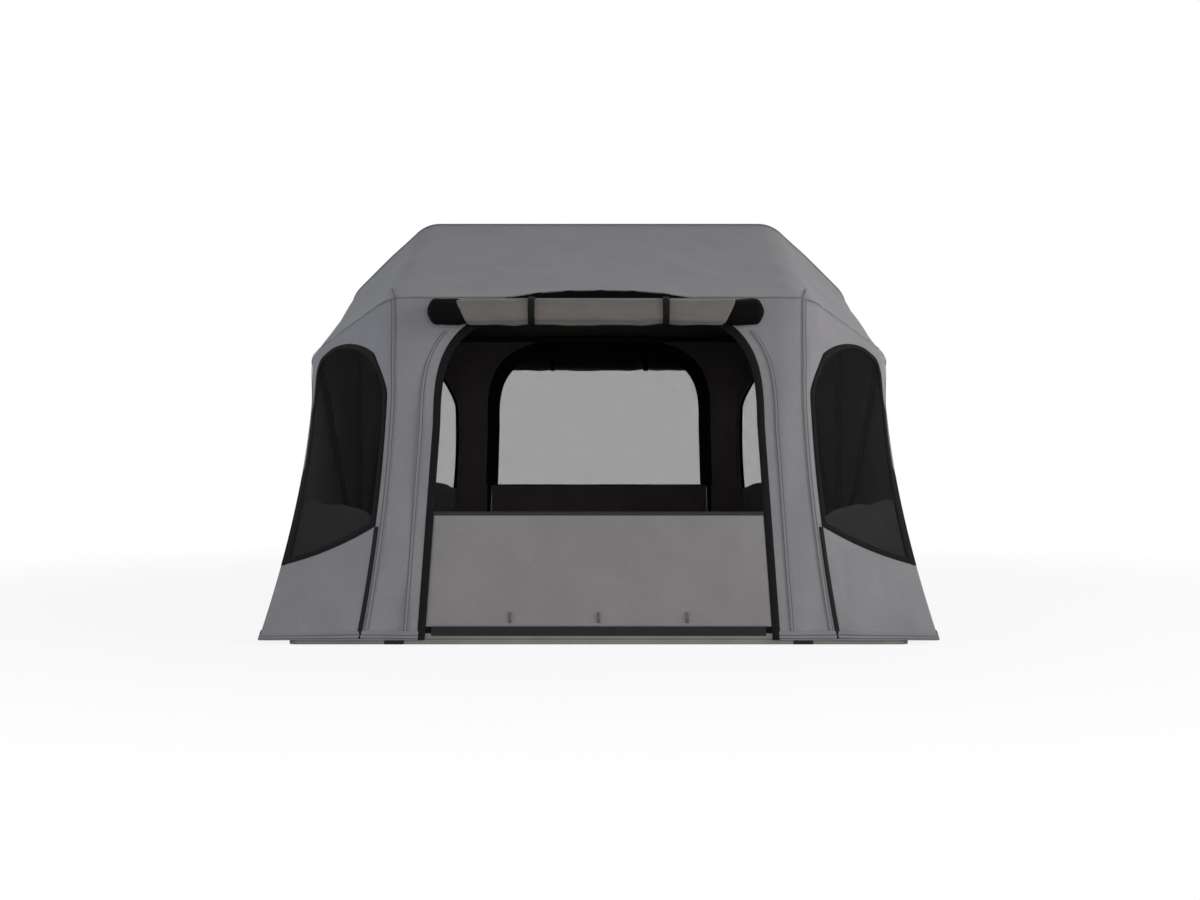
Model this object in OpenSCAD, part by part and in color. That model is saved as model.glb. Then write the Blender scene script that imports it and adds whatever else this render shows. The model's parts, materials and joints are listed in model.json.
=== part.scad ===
// Roof top tent shown open: two hinged base halves, three folding bows and a cloth canopy.
// Millimetres, +Z up, front towards -Y, origin at the middle of the base underside.

/* [Base] */
// outside width of the base
base_w = 1420; // [1380:10:1480]
// outside length of the open base
base_l = 2400; // [2390:10:2500]
// height of the frame rails
rail_h = 25; // [24:1:27]
// width of the frame rails
rail_w = 30; // [27:1:32]
// thickness of the floor panels
floor_t = 12; // [9:0.5:12]
// thickness of the ledge that carries the floor
ledge_t = 3; // [2:0.5:4]
// reach of the ledge under the floor
ledge_w = 12; // [8:1:16]
// leg of the corner castings along each rail
corner_leg = 70; // [55:5:90]
// outer radius of the corner castings
corner_r = 22; // [12:1:26]
// depth of the groove along the outside of the rails
groove_d = 2; // [1:0.5:3]
// gap between the two base halves
split_gap = 2; // [1:0.5:4]

/* [Mount rails] */
// distance of each mount rail from the middle
mount_x = 468; // [380:4:520]
// width of a mount rail
mount_w = 45; // [36:1:50]
// height of a mount rail
mount_h = 12; // [11:0.5:12]
// width of the bolt slot
slot_w = 9; // [7:0.5:11]
// thickness of the slot lips
slot_lip = 3.5; // [2.5:0.5:4]
// width of the bolt-head channel
channel_w = 20; // [15:1:24]
// height of the bolt-head channel
channel_h = 6; // [5:0.5:6.5]
// height of the end caps
cap_h = 8.5; // [7:0.5:10]

/* [Hinge] */
// height of the fold axis
fold_z = 130; // [126:1:140]
// distance of the end bow pivots from the fold axis
bow_pivot_y = 70; // [64:1:76]
// height of the end bow pivots
bow_pivot_z = 100; // [97:1:102]
// thickness of the hinge plates
plate_t = 4; // [3:0.5:4.5]
// length of a hinge plate foot
foot_l = 117; // [105:1:140]
// diameter of the fold pins
pin_d = 12; // [10:0.5:14]
// diameter of the bow bolts
bolt_d = 10; // [8:0.5:12]
// diameter of the plate screws
screw_d = 6; // [4:0.5:8]

/* [Bows] */
// outside diameter of the bow tubes
tube_d = 18; // [16:0.5:18.5]
// wall of the bow tubes
tube_wall = 1.5; // [1:0.25:2.5]
// reach of the middle bow above the fold axis
mid_reach = 945; // [880:5:1000]
// reach of the end bows from their pivots
end_reach = 1119; // [1080:3:1119]
// rise of the end bows above level
bow_angle = 38.6; // [36:0.2:42]
// size of the sloped shoulder of a bow
chamfer = 202; // [170:4:230]
// bend radius of the bow tubes
bend_r = 80; // [60:2:90]
// length of the plug of a bow eye in its tube
eye_plug = 42; // [30:2:50]

/* [Canopy] */
// thickness of the canopy cloth
cloth_t = 3; // [2:0.25:3.5]
// gap from cloth to tube
cloth_gap = 0.7; // [0.5:0.1:1]
// height of the hem
hem_z = 11; // [8:1:16]
// distance of the hem in front of the base
hem_gap = 10.4; // [10.2:0.2:12]
// spread of the skirt at each side
flare = 66; // [50:2:80]
// distance of the front fold line from the middle at the hem
fold_x = 541; // [520:3:560]
// hollow of the front fold line
fold_hollow = 32; // [20:2:40]

/* [Door] */
// half width of the door
door_w = 398; // [340:4:420]
// height at which the door arch starts
door_spring = 500; // [440:5:540]
// distance of the arch top below the eave
door_drop = 12; // [9:1:20]
// width of the door binding
door_edge = 15; // [10:1:20]
// height of the lower door panel
panel_h = 259; // [200:5:320]
// height of the door sill
sill_z = 41; // [36:1:46]
// radius of the rolled mesh
mesh_roll_r = 29; // [22:1:30]
// thickness of the flap rolled around the mesh
flap_wrap = 4; // [3:0.5:5]
// half length of the rolled flap
flap_half = 310; // [260:5:330]
// half length of the rolled mesh
mesh_half = 390; // [350:5:400]
// distance of the roll straps from the middle
strap_x = 160; // [120:5:200]
// width of the roll straps
strap_w = 16; // [10:1:25]
// thickness of the roll straps
strap_t = 2.4; // [1.5:0.1:3]
// drop of the rear roll below the front one
rear_drop = 45; // [0:5:60]
// spacing of the panel loops
loop_pitch = 204; // [150:4:230]

/* [Window] */
// share of the corner left beside the window at the fold line
win_in = 0.05; // [0.04:0.01:0.1]
// share of the corner at which the window ends towards the ridge
win_out = 0.965; // [0.9:0.005:0.97]
// share of the height at which the window starts
win_low = 0.33; // [0.28:0.01:0.36]
// share of the height at which the window arch starts beside the fold line
win_spring = 0.735; // [0.7:0.005:0.75]
// share of the height at the top of the window arch
win_peak = 0.968; // [0.932:0.004:0.968]
// share of the height at which the window arch ends beside the ridge
win_side = 0.6; // [0.55:0.01:0.64]
// thickness of the window mesh
mesh_t = 2; // [1.5:0.1:2.5]
// thickness of bindings and zips
edge_t = 2; // [1.5:0.1:2.5]

/* [Mattress] */
// thickness of the mattress
mattress_t = 59; // [45:1:62]
// gap from the mattress to the sides of the base
mattress_side = 60; // [56:1:85]
// gap from the mattress to the ends of the base
mattress_end = 36; // [32:1:50]
// rounding of the mattress edges
mattress_r = 14; // [8:1:18]

/* [Hidden] */
$fn = 64;
eps = 0.01;
fit = 0.3;
run = 0.08;
butt = 0.05;
field_drop = 75;
roll_gap = 17;
half_w = base_w / 2;
half_l = base_l / 2;
half_gap = split_gap / 2;
floor_z = rail_h - floor_t - 0.5;
leg_x = half_w - 13;
tube_r = tube_d / 2;
mid_off = tube_r + cloth_gap + cloth_t + 0.5;
end_off = 1.21 * (tube_r + cloth_gap) + 1.04 * cloth_t + 0.5;
tangent = bend_r * tan(22.5);
eye_r = 17;
eye_w = tube_d;
plate_front = leg_x - eye_w / 2 - 14;
plate_rear = plate_front + plate_t + 1;
hem_y = half_l + hem_gap;
roll_r = mesh_roll_r + flap_wrap;
col_grey = [0.41, 0.42, 0.43];
col_black = [0.05, 0.05, 0.06];
col_metal = [0.7, 0.7, 0.68];

// points across a bow: three arcs and lines from the right shoulder to the left one
function mix3(a, b, t) = a + (b - a) * t;
function nudge(a, b, d) = a + (b - a) / norm(b - a) * d;
function arc_a(reach, off, i) =
  let (r = bend_r + off)
  [leg_x - bend_r + r * cos(15 * i), reach - chamfer - tangent + r * sin(15 * i)];
function arc_b(reach, off, i) =
  let (r = bend_r + off, a = 45 + 11.25 * i)
  [leg_x - chamfer - tangent + r * cos(a), reach - bend_r + r * sin(a)];
function prof(reach, off, i) =
  i <= 3 ? arc_a(reach, off, i)
  : i <= 5 ? mix3(arc_a(reach, off, 3), arc_b(reach, off, 0), (i - 3) / 3)
  : arc_b(reach, off, i - 6);
function across(reach, off, k) =
  k <= 10 ? prof(reach, off, k)
  : k >= 16 ? [-prof(reach, off, 26 - k)[0], prof(reach, off, 26 - k)[1]]
  : [prof(reach, off, 10)[0] * (13 - k) / 3, prof(reach, off, 10)[1]];
function tilt(q) =
  [q[0], -bow_pivot_y - q[1] * cos(bow_angle), bow_pivot_z + q[1] * sin(bow_angle)];
function end_pt(k) = tilt(across(end_reach, end_off, k));
function mid_pt(k) = let (q = across(mid_reach, mid_off, k)) [q[0], -half_gap, fold_z + q[1]];

// inward direction of the cloth, one smooth field shared by all panels
function cube3(a) = a * a * a;
function field(p) =
  let (a = half_w + mid_off, b = half_l, c = fold_z + mid_reach - field_drop,
    n = [cube3(p[0] / a) / a, cube3(p[1] / b) / b, cube3(p[2] / c) / c])
  n / norm(n);
function lift(p, d) = p + field(p) * d;

// curves of the front corner: fold line, ridge, leg line and middle line
function bez(a, b, c, d, t) =
  a * pow(1 - t, 3) + 3 * b * t * pow(1 - t, 2) + 3 * c * t * t * (1 - t) + d * t * t * t;
function fold_pt(v) =
  let (a = [fold_x, -hem_y, hem_z], b = end_pt(8))
  mix3(a, b, v) - [fold_hollow * v * (1 - v), 0, 0];
function ridge_pt(v) =
  let (b = end_pt(0), a = leg_x + mid_off + flare)
  [bez(a, a - 0.76 * flare, a - 1.15 * flare, b[0], v),
    -hem_y + (b[1] + hem_y) * v, hem_z + (b[2] - hem_z) * v];
leg_share = 0.06;
function skirt(b) = leg_x + mid_off + flare * pow(1 - b, 5);
function leg_y(z) = -bow_pivot_y - max(0, z - bow_pivot_z) / tan(bow_angle);
function leg_pt(b) =
  let (e = mix3(end_pt(0), mid_pt(0), leg_share), z = hem_z + (e[2] - hem_z) * b)
  [skirt(b) + (e[0] - leg_x - mid_off) * b, leg_y(z) + (e[1] - leg_y(e[2])) * pow(b, 4), z];
function side_pt(b) = [skirt(b), -half_gap, hem_z + (mid_pt(0)[2] - hem_z) * b];

// corner panel surface: u from fold line to ridge, v from hem to bow
function top_pt(u) =
  let (k = 8 * (1 - u), i = min(7, floor(k)))
  mix3(end_pt(i), end_pt(i + 1), k - i);
function corner_pt(u, v) =
  mix3(fold_pt(v), ridge_pt(v), u)
  + (top_pt(u) - mix3(end_pt(8), end_pt(0), u)) * v * v * v;

// end wall surface: x across, v from hem to bow
function wall_top(x) =
  let (r = bend_r + end_off, bx = leg_x - chamfer - tangent, o = max(0, abs(x) - bx))
  tilt([x, end_reach - bend_r + sqrt(r * r - o * o)]);
function wall_pt(x, v) =
  let (f = fold_pt(v), w = x / f[0], e = end_pt(8), t = wall_top(w * e[0]))
  [x, f[1], f[2]] + ([0, t[1] - e[1], t[2] - e[2]]) * v * v * v;
function wall_v(z) = (z - hem_z) / (end_pt(8)[2] - hem_z);
wall_lean = atan2(hem_y + end_pt(10)[1], end_pt(10)[2] - hem_z);

// shared divisions along the fold line and the ridge
function win_base(u) = win_low - 0.077 * u - 0.048 * u * (1 - u);
function steps(a, b, n) = [for (i = [0 : n - 1]) a + (b - a) * i / n];
fold_cuts = concat(steps(0, win_base(0), 4), steps(win_base(0), 0.8, 6), steps(0.8, 1, 4), [1]);
ridge_cuts = concat(steps(0, win_base(1), 4), steps(win_base(1), 0.66, 6), steps(0.66, 1, 4), [1]);
back_cuts = concat([0.0004, leg_share / 2], steps(leg_share, 1, 4), [1]);

// window outline in corner shares
win_c = (win_in + win_out) / 2;
win_h = (win_out - win_in) / 2;
function win_top(w) =
  w < 0
  ? win_peak - (win_peak - win_spring) * (0.82 * (sqrt(w * w + 0.0064) - 0.08) + 0.182 * pow(w, 12))
  : win_peak - (win_peak - win_side) * pow(w, 4);
function win_w(i) = -cos(180 * i / 16);
function win_col(i, j) =
  let (w = win_w(i), u = win_c + win_h * w, lo = win_base(u))
  [u, lo + (win_top(w) - lo) * j / 6];
win_edge = concat(
  [for (j = [0 : 6]) win_col(0, j)],
  [for (i = [1 : 15]) win_col(i, 6)],
  [for (j = [0 : 6]) win_col(16, 6 - j)]);
function rim(i) =
  i <= 4 ? [0, 0.8 + 0.05 * i] : i <= 12 ? [(i - 4) / 8, 1] : [1, 1 - 0.085 * (i - 12)];
win_rim = concat(
  [for (j = [0 : 6]) [0, win_base(0) + (0.8 - win_base(0)) * j / 6]],
  [for (i = [1 : 15]) rim(i)],
  [for (j = [0 : 6]) [1, 0.66 + (win_base(1) - 0.66) * j / 6]]);
win_mid = [win_c, (win_low + win_peak) / 2];
function shrink(q, a, b) = [win_mid[0] + (q[0] - win_mid[0]) * a, win_mid[1] + (q[1] - win_mid[1]) * b];

// door outline in x and v
eave_z = end_pt(10)[2];
door_top = eave_z - door_drop;
function door_pt(i, w, top) =
  let (n = 38, k = i < 8 ? 0 : i > 30 ? 22 : i - 8, a = 180 * k / 22)
  i < 8 ? [w, hem_z + (door_spring - hem_z) * i / 8]
  : i > 30 ? [-w, hem_z + (door_spring - hem_z) * (n - i) / 8]
  : [w * sign(cos(a)) * pow(abs(cos(a)), 0.62),
      door_spring + (top - door_spring) * pow(abs(sin(a)), 0.62)];
function on_wall(q) = wall_pt(q[0], wall_v(q[1]));
bind_line = [for (i = [0 : 38]) on_wall(door_pt(i, door_w - fit, door_top - fit))];
edge_line = [for (i = [0 : 38]) on_wall(door_pt(i, door_w - door_edge, door_top - door_edge))];
function door_q(i) = let (q = door_pt(i, door_w, door_top)) [q[0], wall_v(q[1])];
rim_q = concat(
  [for (i = [0 : 13]) [fold_pt(fold_cuts[i])[0], fold_cuts[i]]],
  [for (k = [8 : 18]) [end_pt(k)[0], 1]],
  [for (i = [0 : 13]) [-fold_pt(fold_cuts[13 - i])[0], fold_cuts[13 - i]]]);

// closed thin solid from a grid of outer points
function quad(a, b, c, d, f) = f ? [[a, c, b], [a, d, c]] : [[a, b, c], [a, c, d]];
module sheet(g, t) {
  rows = len(g);
  cols = len(g[0]);
  count = rows * cols;
  outer = [for (r = g) for (p = r) p];
  inner = [for (p = outer) lift(p, -t)];
  mr = floor((rows - 1) / 2);
  mc = floor((cols - 1) / 2);
  o = g[mr][mc];
  f = cross(g[mr][mc + 1] - o, g[mr + 1][mc] - o) * field(o) > 0;
  skin = [for (i = [0 : rows - 2]) for (j = [0 : cols - 2]) let (a = i * cols + j)
    each quad(a, a + 1, a + cols + 1, a + cols, f)];
  back = [for (i = [0 : rows - 2]) for (j = [0 : cols - 2]) let (a = count + i * cols + j)
    each quad(a, a + 1, a + cols + 1, a + cols, !f)];
  low = [for (j = [0 : cols - 2]) each quad(count + j, count + j + 1, j + 1, j, f)];
  high = [for (j = [0 : cols - 2]) let (a = (rows - 1) * cols + j)
    each quad(a, a + 1, count + a + 1, count + a, f)];
  left = [for (i = [0 : rows - 2]) let (a = i * cols)
    each quad(a, a + cols, count + a + cols, count + a, f)];
  right = [for (i = [0 : rows - 2]) let (a = i * cols + cols - 1)
    each quad(count + a, count + a + cols, a + cols, a, f)];
  polyhedron(concat(outer, inner), concat(skin, back, low, high, left, right));
}
module loft(a, b, n, t) {
  sheet([for (m = [0 : n]) [for (i = [0 : len(a) - 1]) mix3(a[i], b[i], m / n)]], t);
}
module both_sides() {
  children();
  mirror([1, 0, 0]) children();
}
module to_rear() {
  mirror([0, 1, 0]) children();
}

// base frame
module rail_section() {
  polygon([[0, 0], [0, rail_h / 2 - 1.5], [groove_d, rail_h / 2 - 1], [groove_d, rail_h / 2 + 1],
    [0, rail_h / 2 + 1.5], [0, rail_h], [rail_w, rail_h], [rail_w, floor_z - 0.2],
    [rail_w + ledge_w, floor_z - 0.2], [rail_w + ledge_w, floor_z - 0.2 - ledge_t],
    [rail_w, floor_z - 0.2 - ledge_t], [rail_w, 0]]);
}
module side_rail() {
  translate([half_w, -half_gap, 0])
    rotate([90, 0, 0])
      linear_extrude(half_l - half_gap - corner_leg - fit)
        mirror([1, 0]) rail_section();
}
module end_rail() {
  long = 2 * (half_w - corner_leg - fit);
  difference() {
    translate([-long / 2, -half_l, 0])
      rotate([90, 0, 90])
        linear_extrude(long) rail_section();
    for (s = [-1, 1])
      translate([s * mount_x - mount_w / 2 - fit, -half_l - 1, -1])
        cube([mount_w + 2 * fit, rail_w + ledge_w + 2, cap_h + fit + 1]);
  }
}
module rear_end_rail_solid() {
  long = 2 * (half_w - corner_leg - fit);
  translate([-long / 2, -half_l, 0])
    rotate([90, 0, 90])
      linear_extrude(long) rail_section();
}
module mid_rail() {
  long = 2 * (half_w - rail_w - ledge_w - fit);
  translate([-long / 2, -half_gap - rail_w, 0])
    difference() {
      union() {
        cube([long, rail_w, rail_h]);
        translate([0, -ledge_w, floor_z - 0.2 - ledge_t]) cube([long, ledge_w + 1, ledge_t]);
      }
      translate([long / 2, rail_w / 2, rail_h / 2])
        cube([long + 2, rail_w - 8, rail_h - 8], center = true);
    }
}
module corner_cast() {
  difference() {
    translate([half_w - corner_leg, -half_l, 0])
      linear_extrude(rail_h)
        difference() {
          square(corner_leg);
          translate([-1, rail_w]) square([corner_leg - rail_w + 1, corner_leg]);
          translate([corner_leg - corner_r, -1])
            difference() {
              square([corner_r + 1, corner_r + 1]);
              translate([0, corner_r + 1]) circle(corner_r);
            }
        }
    for (z = [rail_h / 4, rail_h * 3 / 4])
      translate([half_w - corner_leg - 1, -half_l - 1, z - 0.8]) cube([18, 2.2, 1.6]);
  }
}
module floor_panel() {
  wide = half_w - rail_w - fit;
  y0 = -half_l + rail_w + fit;
  y1 = -half_gap - rail_w - fit;
  translate([-wide, y0, floor_z]) cube([2 * wide, y1 - y0, floor_t]);
}
module mount_rail() {
  y0 = -half_l + rail_w + ledge_w + 2 * fit;
  y1 = -half_gap - rail_w - ledge_w - 2 * fit;
  tall = min(mount_h, floor_z - fit);
  translate([mount_x, y1, 0])
    rotate([90, 0, 0])
      linear_extrude(y1 - y0)
        difference() {
          translate([-mount_w / 2, 0]) square([mount_w, tall]);
          translate([-slot_w / 2, -1]) square([slot_w, slot_lip + 1.5]);
          translate([-channel_w / 2, slot_lip]) square([channel_w, min(channel_h, tall - slot_lip - 1.6)]);
        }
}
module rail_cap() {
  translate([mount_x - mount_w / 2, -half_l - 1.5, 0])
    cube([mount_w, rail_w + ledge_w + 1.5 + fit, cap_h]);
}

// hinge
module plate_shape() {
  difference() {
    hull() {
      translate([0, fold_z]) circle(eye_r + 1);
      translate([-bow_pivot_y, bow_pivot_z]) circle(eye_r - 1);
      translate([-half_gap - 1 - foot_l, rail_h + fit]) square([foot_l, 8]);
    }
    translate([0, fold_z]) circle(d = pin_d + 2 * run);
    translate([-bow_pivot_y, bow_pivot_z]) circle(d = bolt_d + 2 * run);
    translate([-foot_l / 2 + 4, rail_h + 26]) circle(11);
  }
}
module hinge_plate(x) {
  translate([x, 0, 0])
    rotate([90, 0, 90])
      linear_extrude(plate_t) plate_shape();
  difference() {
    translate([x, -half_gap - 1 - foot_l, rail_h + fit])
      cube([half_w - 4 - x, foot_l, plate_t - 1]);
    for (i = [1 : 3])
      translate([half_w - rail_w / 2, -half_gap - 1 - foot_l * (i - 0.5) / 3, rail_h - 1])
        cylinder(d = screw_d + fit, h = 12);
  }
}
module plate_screws() {
  for (i = [1 : 3])
    translate([half_w - rail_w / 2, -half_gap - 1 - foot_l * (i - 0.5) / 3, rail_h + 0.1]) {
      cylinder(d = screw_d, h = plate_t);
      translate([0, 0, plate_t - 1 + fit]) cylinder(d = 1.8 * screw_d, h = 3.4);
    }
}
module cross_bolt(d, y, z, inner, spacer) {
  out = leg_x + eye_w / 2;
  translate([inner - 7, y, z])
    rotate([0, 90, 0]) {
      cylinder(d = d, h = out - inner + 7 + 2);
      translate([0, 0, out - inner + 7 + fit]) cylinder(d = 1.8 * d, h = 4);
      cylinder(d = 1.8 * d, h = 6.6, $fn = 6);
    }
  translate([spacer + fit, y, z])
    rotate([0, 90, 0])
      difference() {
        cylinder(d = 1.7 * d, h = leg_x - eye_w / 2 - spacer - 2 * fit);
        translate([0, 0, -1]) cylinder(d = d + fit, h = 30);
      }
}

// bows
module pipe(l) {
  difference() {
    cylinder(d = tube_d, h = l);
    translate([0, 0, -1]) cylinder(d = tube_d - 2 * tube_wall, h = l + 2);
  }
}
module bend(a) {
  rotate_extrude(angle = a)
    translate([bend_r, 0])
      difference() {
        circle(d = tube_d);
        circle(d = tube_d - 2 * tube_wall);
      }
}
// one bow in the XZ plane, pivot at the origin, its tubes butted at the shoulders
module bow_tube(reach) {
  start = eye_r + 2;
  leg = reach - chamfer - tangent;
  top = leg_x - chamfer - tangent;
  both_sides() {
    translate([leg_x, 0, start]) pipe(leg - start);
    translate([leg_x - bend_r, 0, leg]) rotate([90, 0, 0]) bend(45);
    translate([leg_x - bend_r + bend_r * cos(45), 0, leg + bend_r * sin(45)])
      rotate([0, -45, 0]) translate([0, 0, butt]) pipe(chamfer * sqrt(2) - 2 * tangent - 2 * butt);
    translate([top, 0, reach - bend_r]) rotate([90, -45, 0]) bend(45);
  }
  translate([-top, 0, reach]) rotate([0, 90, 0]) pipe(2 * top);
}
module bow_eye(d) {
  translate([leg_x, 0, 0])
    difference() {
      union() {
        rotate([0, 90, 0]) cylinder(r = eye_r, h = eye_w, center = true);
        cylinder(d = tube_d - 2 * tube_wall - fit, h = eye_r + eye_plug);
        cylinder(d = tube_d - eps, h = eye_r + 2 - fit);
      }
      rotate([0, 90, 0]) cylinder(d = d + 2 * run, h = eye_w + 2, center = true);
    }
}
module at_end_bow() {
  translate([0, -bow_pivot_y, bow_pivot_z]) rotate([90 - bow_angle, 0, 0]) children();
}

// canopy, front half
module roof() {
  color(col_grey)
    sheet([for (f = back_cuts) [for (k = [0 : 26]) mix3(end_pt(k), mid_pt(k), f)]], cloth_t);
}
module wall() {
  color(col_grey)
    sheet([for (m = [0, 0.4, 0.75, 0.92, 1]) [for (i = [0 : 38])
      let (q = mix3(door_q(i), rim_q[i], m)) wall_pt(q[0], q[1])]], cloth_t);
}
module corner_panel() {
  sheet([for (m = [0 : 3]) [for (i = [0 : 28])
    let (q = mix3(win_edge[i], win_rim[i], m / 3)) corner_pt(q[0], q[1])]], cloth_t);
}
lower_us = concat([0], [for (i = [0 : 16]) win_c + win_h * win_w(i)], [1]);
module lower_corner() {
  sheet([for (m = [0 : 4]) [for (u = lower_us) corner_pt(u, win_base(u) * m / 4)]], cloth_t);
}
module side() {
  sheet([for (b = ridge_cuts) concat(
    [nudge(ridge_pt(b), leg_pt(b), fit), mix3(ridge_pt(b), leg_pt(b), 0.5)],
    [for (m = [0 : 4]) mix3(leg_pt(b), side_pt(b), m / 4)])], cloth_t);
}
module window_mesh() {
  sheet([for (j = [0 : 6]) [for (i = [0 : 16])
    let (q = shrink(win_col(i, j), 0.995, 0.998)) corner_pt(q[0], q[1])]], mesh_t);
}
module window_cover() {
  sheet([for (j = [0 : 5]) [for (i = [0 : 14])
    let (u = 0.08 + 0.84 * i / 14, lo = win_base(u) - 0.06, hi = 0.335 + 0.15 * pow(u, 0.8),
      s = j / 5, d = cloth_t + 0.5 + 9 * sin(90 * s) + 5 * s * (1 + sin(250 * u + 90 * s)))
    lift(corner_pt(u, lo + (hi - lo) * s), -d)]], edge_t);
}
module window_binding() {
  sheet([for (m = [0 : 1]) [for (q = win_edge)
    let (s = mix3(q, shrink(q, 0.9, 0.96), m)) lift(corner_pt(s[0], s[1]), 0.8 + edge_t)]], edge_t);
  sheet([for (m = [0 : 1]) [for (i = [1 : 15])
    let (a = win_col(i, 0), s = [a[0], a[1] + 0.018 * m]) lift(corner_pt(s[0], s[1]), 0.8 + edge_t)]],
    edge_t);
}
module corner_zip() {
  sheet([for (m = [0 : 6]) [for (u = [0.006, 0.028, 0.05])
    lift(corner_pt(u, (win_base(0) - 0.012) * m / 6 + 0.004), fit + edge_t)]], edge_t);
}
module door_binding() {
  color(col_black) loft(edge_line, bind_line, 1, cloth_t);
}
module door_panel() {
  w = door_w - door_edge;
  color(col_grey)
    sheet([for (j = [0 : 4]) [for (i = [0 : 8])
      wall_pt(w * (i / 4 - 1), wall_v(sill_z + panel_h * j / 4))]], cloth_t);
}
module door_loops() {
  for (i = [-1 : 1])
    let (p = wall_pt(i * loop_pitch, wall_v(sill_z + 20)))
      color(col_black) translate(p) rotate([-wall_lean, 0, 0]) translate([0, -fit, 0])
        difference() {
          translate([-8, -3, -14]) cube([16, 3, 28]);
          translate([-3, -4, -9]) cube([6, 5, 18]);
        }
}
roll_z = eave_z - roll_r - roll_gap;
inward = [0, cos(wall_lean), -sin(wall_lean)];
function roll_at(drop) =
  wall_pt(0, wall_v(roll_z - drop)) - inward * (roll_r + strap_t + 2 * fit + edge_t);
module along_x(h, drop) {
  translate(roll_at(drop))
    rotate([90, 0, 90])
      translate([0, 0, -h]) linear_extrude(2 * h) children();
}
module mesh_roll() {
  color(col_black) along_x(mesh_half, 0) {
    circle(r = mesh_roll_r - 1, $fn = 40);
    rotate(-60) translate([mesh_roll_r - 4, -3]) square([3.6, 6]);
  }
}
module door_roll(drop) {
  color(col_grey) along_x(flap_half, drop)
    difference() {
      circle(r = roll_r);
      circle(r = mesh_roll_r);
    }
}
module roll_straps(drop) {
  p = roll_at(drop);
  ring = roll_r + fit + strap_t;
  tab = 0.4 * edge_t;
  low = p + inward * (ring + fit);
  high = wall_pt(0, wall_v(eave_z - 3)) - inward * (fit + tab);
  for (s = [-1, 1])
    color(col_black)
      translate([s * strap_x - strap_w / 2, 0, 0]) {
        translate(p)
          rotate([90, 0, 90])
            linear_extrude(strap_w)
              difference() {
                circle(r = ring);
                circle(r = roll_r + fit);
              }
        hull() {
          translate(low) rotate([-wall_lean, 0, 0]) cube([strap_w, tab, 0.5]);
          translate(high) rotate([-wall_lean, 0, 0]) translate([0, 0, -0.5]) cube([strap_w, tab, 0.5]);
        }
      }
}
module sill() {
  w = door_w - door_edge - fit;
  color(col_black)
    translate([-w, -half_l - 0.4 - 3.6, rail_h - 5]) cube([2 * w, 3.6, sill_z - rail_h + 4.6]);
}
module door_mesh() {
  w = door_w - door_edge - fit;
  z0 = sill_z + panel_h + 0.5;
  lo = [for (i = [0 : 22]) let (q = door_pt(8 + i, w, door_top - door_edge - fit)) [q[0], z0]];
  hi = [for (i = [0 : 22]) door_pt(8 + i, w, door_top - door_edge - fit)];
  color(col_black)
    sheet([for (m = [0 : 6]) [for (i = [0 : 22]) on_wall(mix3(lo[i], hi[i], m / 6))]], mesh_t);
}
module mattress() {
  w = half_w - mattress_side - mattress_r;
  y0 = -half_l + mattress_end + mattress_r;
  y1 = -half_gap - 5 - mattress_r;
  color([0.3, 0.3, 0.32])
    hull()
      for (x = [-w, w], y = [y0, y1]) {
        translate([x, y, rail_h + fit]) cylinder(r = mattress_r - 4, h = 6, $fn = 24);
        translate([x, y, rail_h + mattress_t / 2]) cylinder(r = mattress_r, h = 4, $fn = 24);
        translate([x, y, rail_h + mattress_t - 1]) cylinder(r = mattress_r - 6, h = 1, $fn = 24);
      }
}

color([0.5, 0.5, 0.5]) floor_panel();  // front_floor
color(col_metal) end_rail();  // front_end_rail
color(col_metal) both_sides() side_rail();  // front_side_rails
color(col_metal) mid_rail();  // front_mid_rail
color(col_metal) both_sides() corner_cast();  // front_corners
color(col_metal) both_sides() mount_rail();  // mount_rails
color(col_black) both_sides() rail_cap();  // rail_caps
both_sides() hinge_plate(plate_front);  // front_hinge_plates
both_sides() plate_screws();  // front_plate_screws
both_sides() cross_bolt(pin_d, 0, fold_z, plate_front, plate_rear + plate_t);  // hinge_pins
both_sides() cross_bolt(bolt_d, -bow_pivot_y, bow_pivot_z, plate_front, plate_front + plate_t);  // front_bow_bolts
mattress();  // front_mattress
roof();  // front_roof
wall();  // front_wall
color(col_grey) both_sides() corner_panel();  // front_corner_panels
color(col_grey) both_sides() lower_corner();  // front_lower_corners
color(col_grey) both_sides() side();  // front_sides
color(col_black) both_sides() window_mesh();  // front_window_mesh
color(col_grey) both_sides() window_cover();  // front_window_covers
color(col_black) both_sides() window_binding();  // front_window_bindings
color(col_black) both_sides() corner_zip();  // front_corner_zips
door_binding();  // front_door_binding
door_roll(0);  // front_door_roll
mesh_roll();  // front_mesh_roll
roll_straps(0);  // front_roll_straps
door_panel();  // front_door_panel
door_loops();  // front_door_loops
sill();  // front_sill
color([0.5, 0.5, 0.5]) to_rear() floor_panel();  // rear_floor
color(col_metal) to_rear() rear_end_rail_solid();  // rear_end_rail
color(col_metal) to_rear() both_sides() side_rail();  // rear_side_rails
color(col_metal) to_rear() mid_rail();  // rear_mid_rail
color(col_metal) to_rear() both_sides() corner_cast();  // rear_corners
to_rear() both_sides() hinge_plate(plate_rear);  // rear_hinge_plates
to_rear() both_sides() plate_screws();  // rear_plate_screws
to_rear() both_sides()  // rear_bow_bolts
    cross_bolt(bolt_d, -bow_pivot_y, bow_pivot_z, plate_rear, plate_rear + plate_t);
to_rear() mattress();  // rear_mattress
to_rear() roof();  // rear_roof
to_rear() wall();  // rear_wall
color(col_grey) to_rear() both_sides() corner_panel();  // rear_corner_panels
color(col_grey) to_rear() both_sides() lower_corner();  // rear_lower_corners
color(col_grey) to_rear() both_sides() side();  // rear_sides
color(col_black) to_rear() both_sides() window_mesh();  // rear_window_mesh
color(col_grey) to_rear() both_sides() window_cover();  // rear_window_covers
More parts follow.
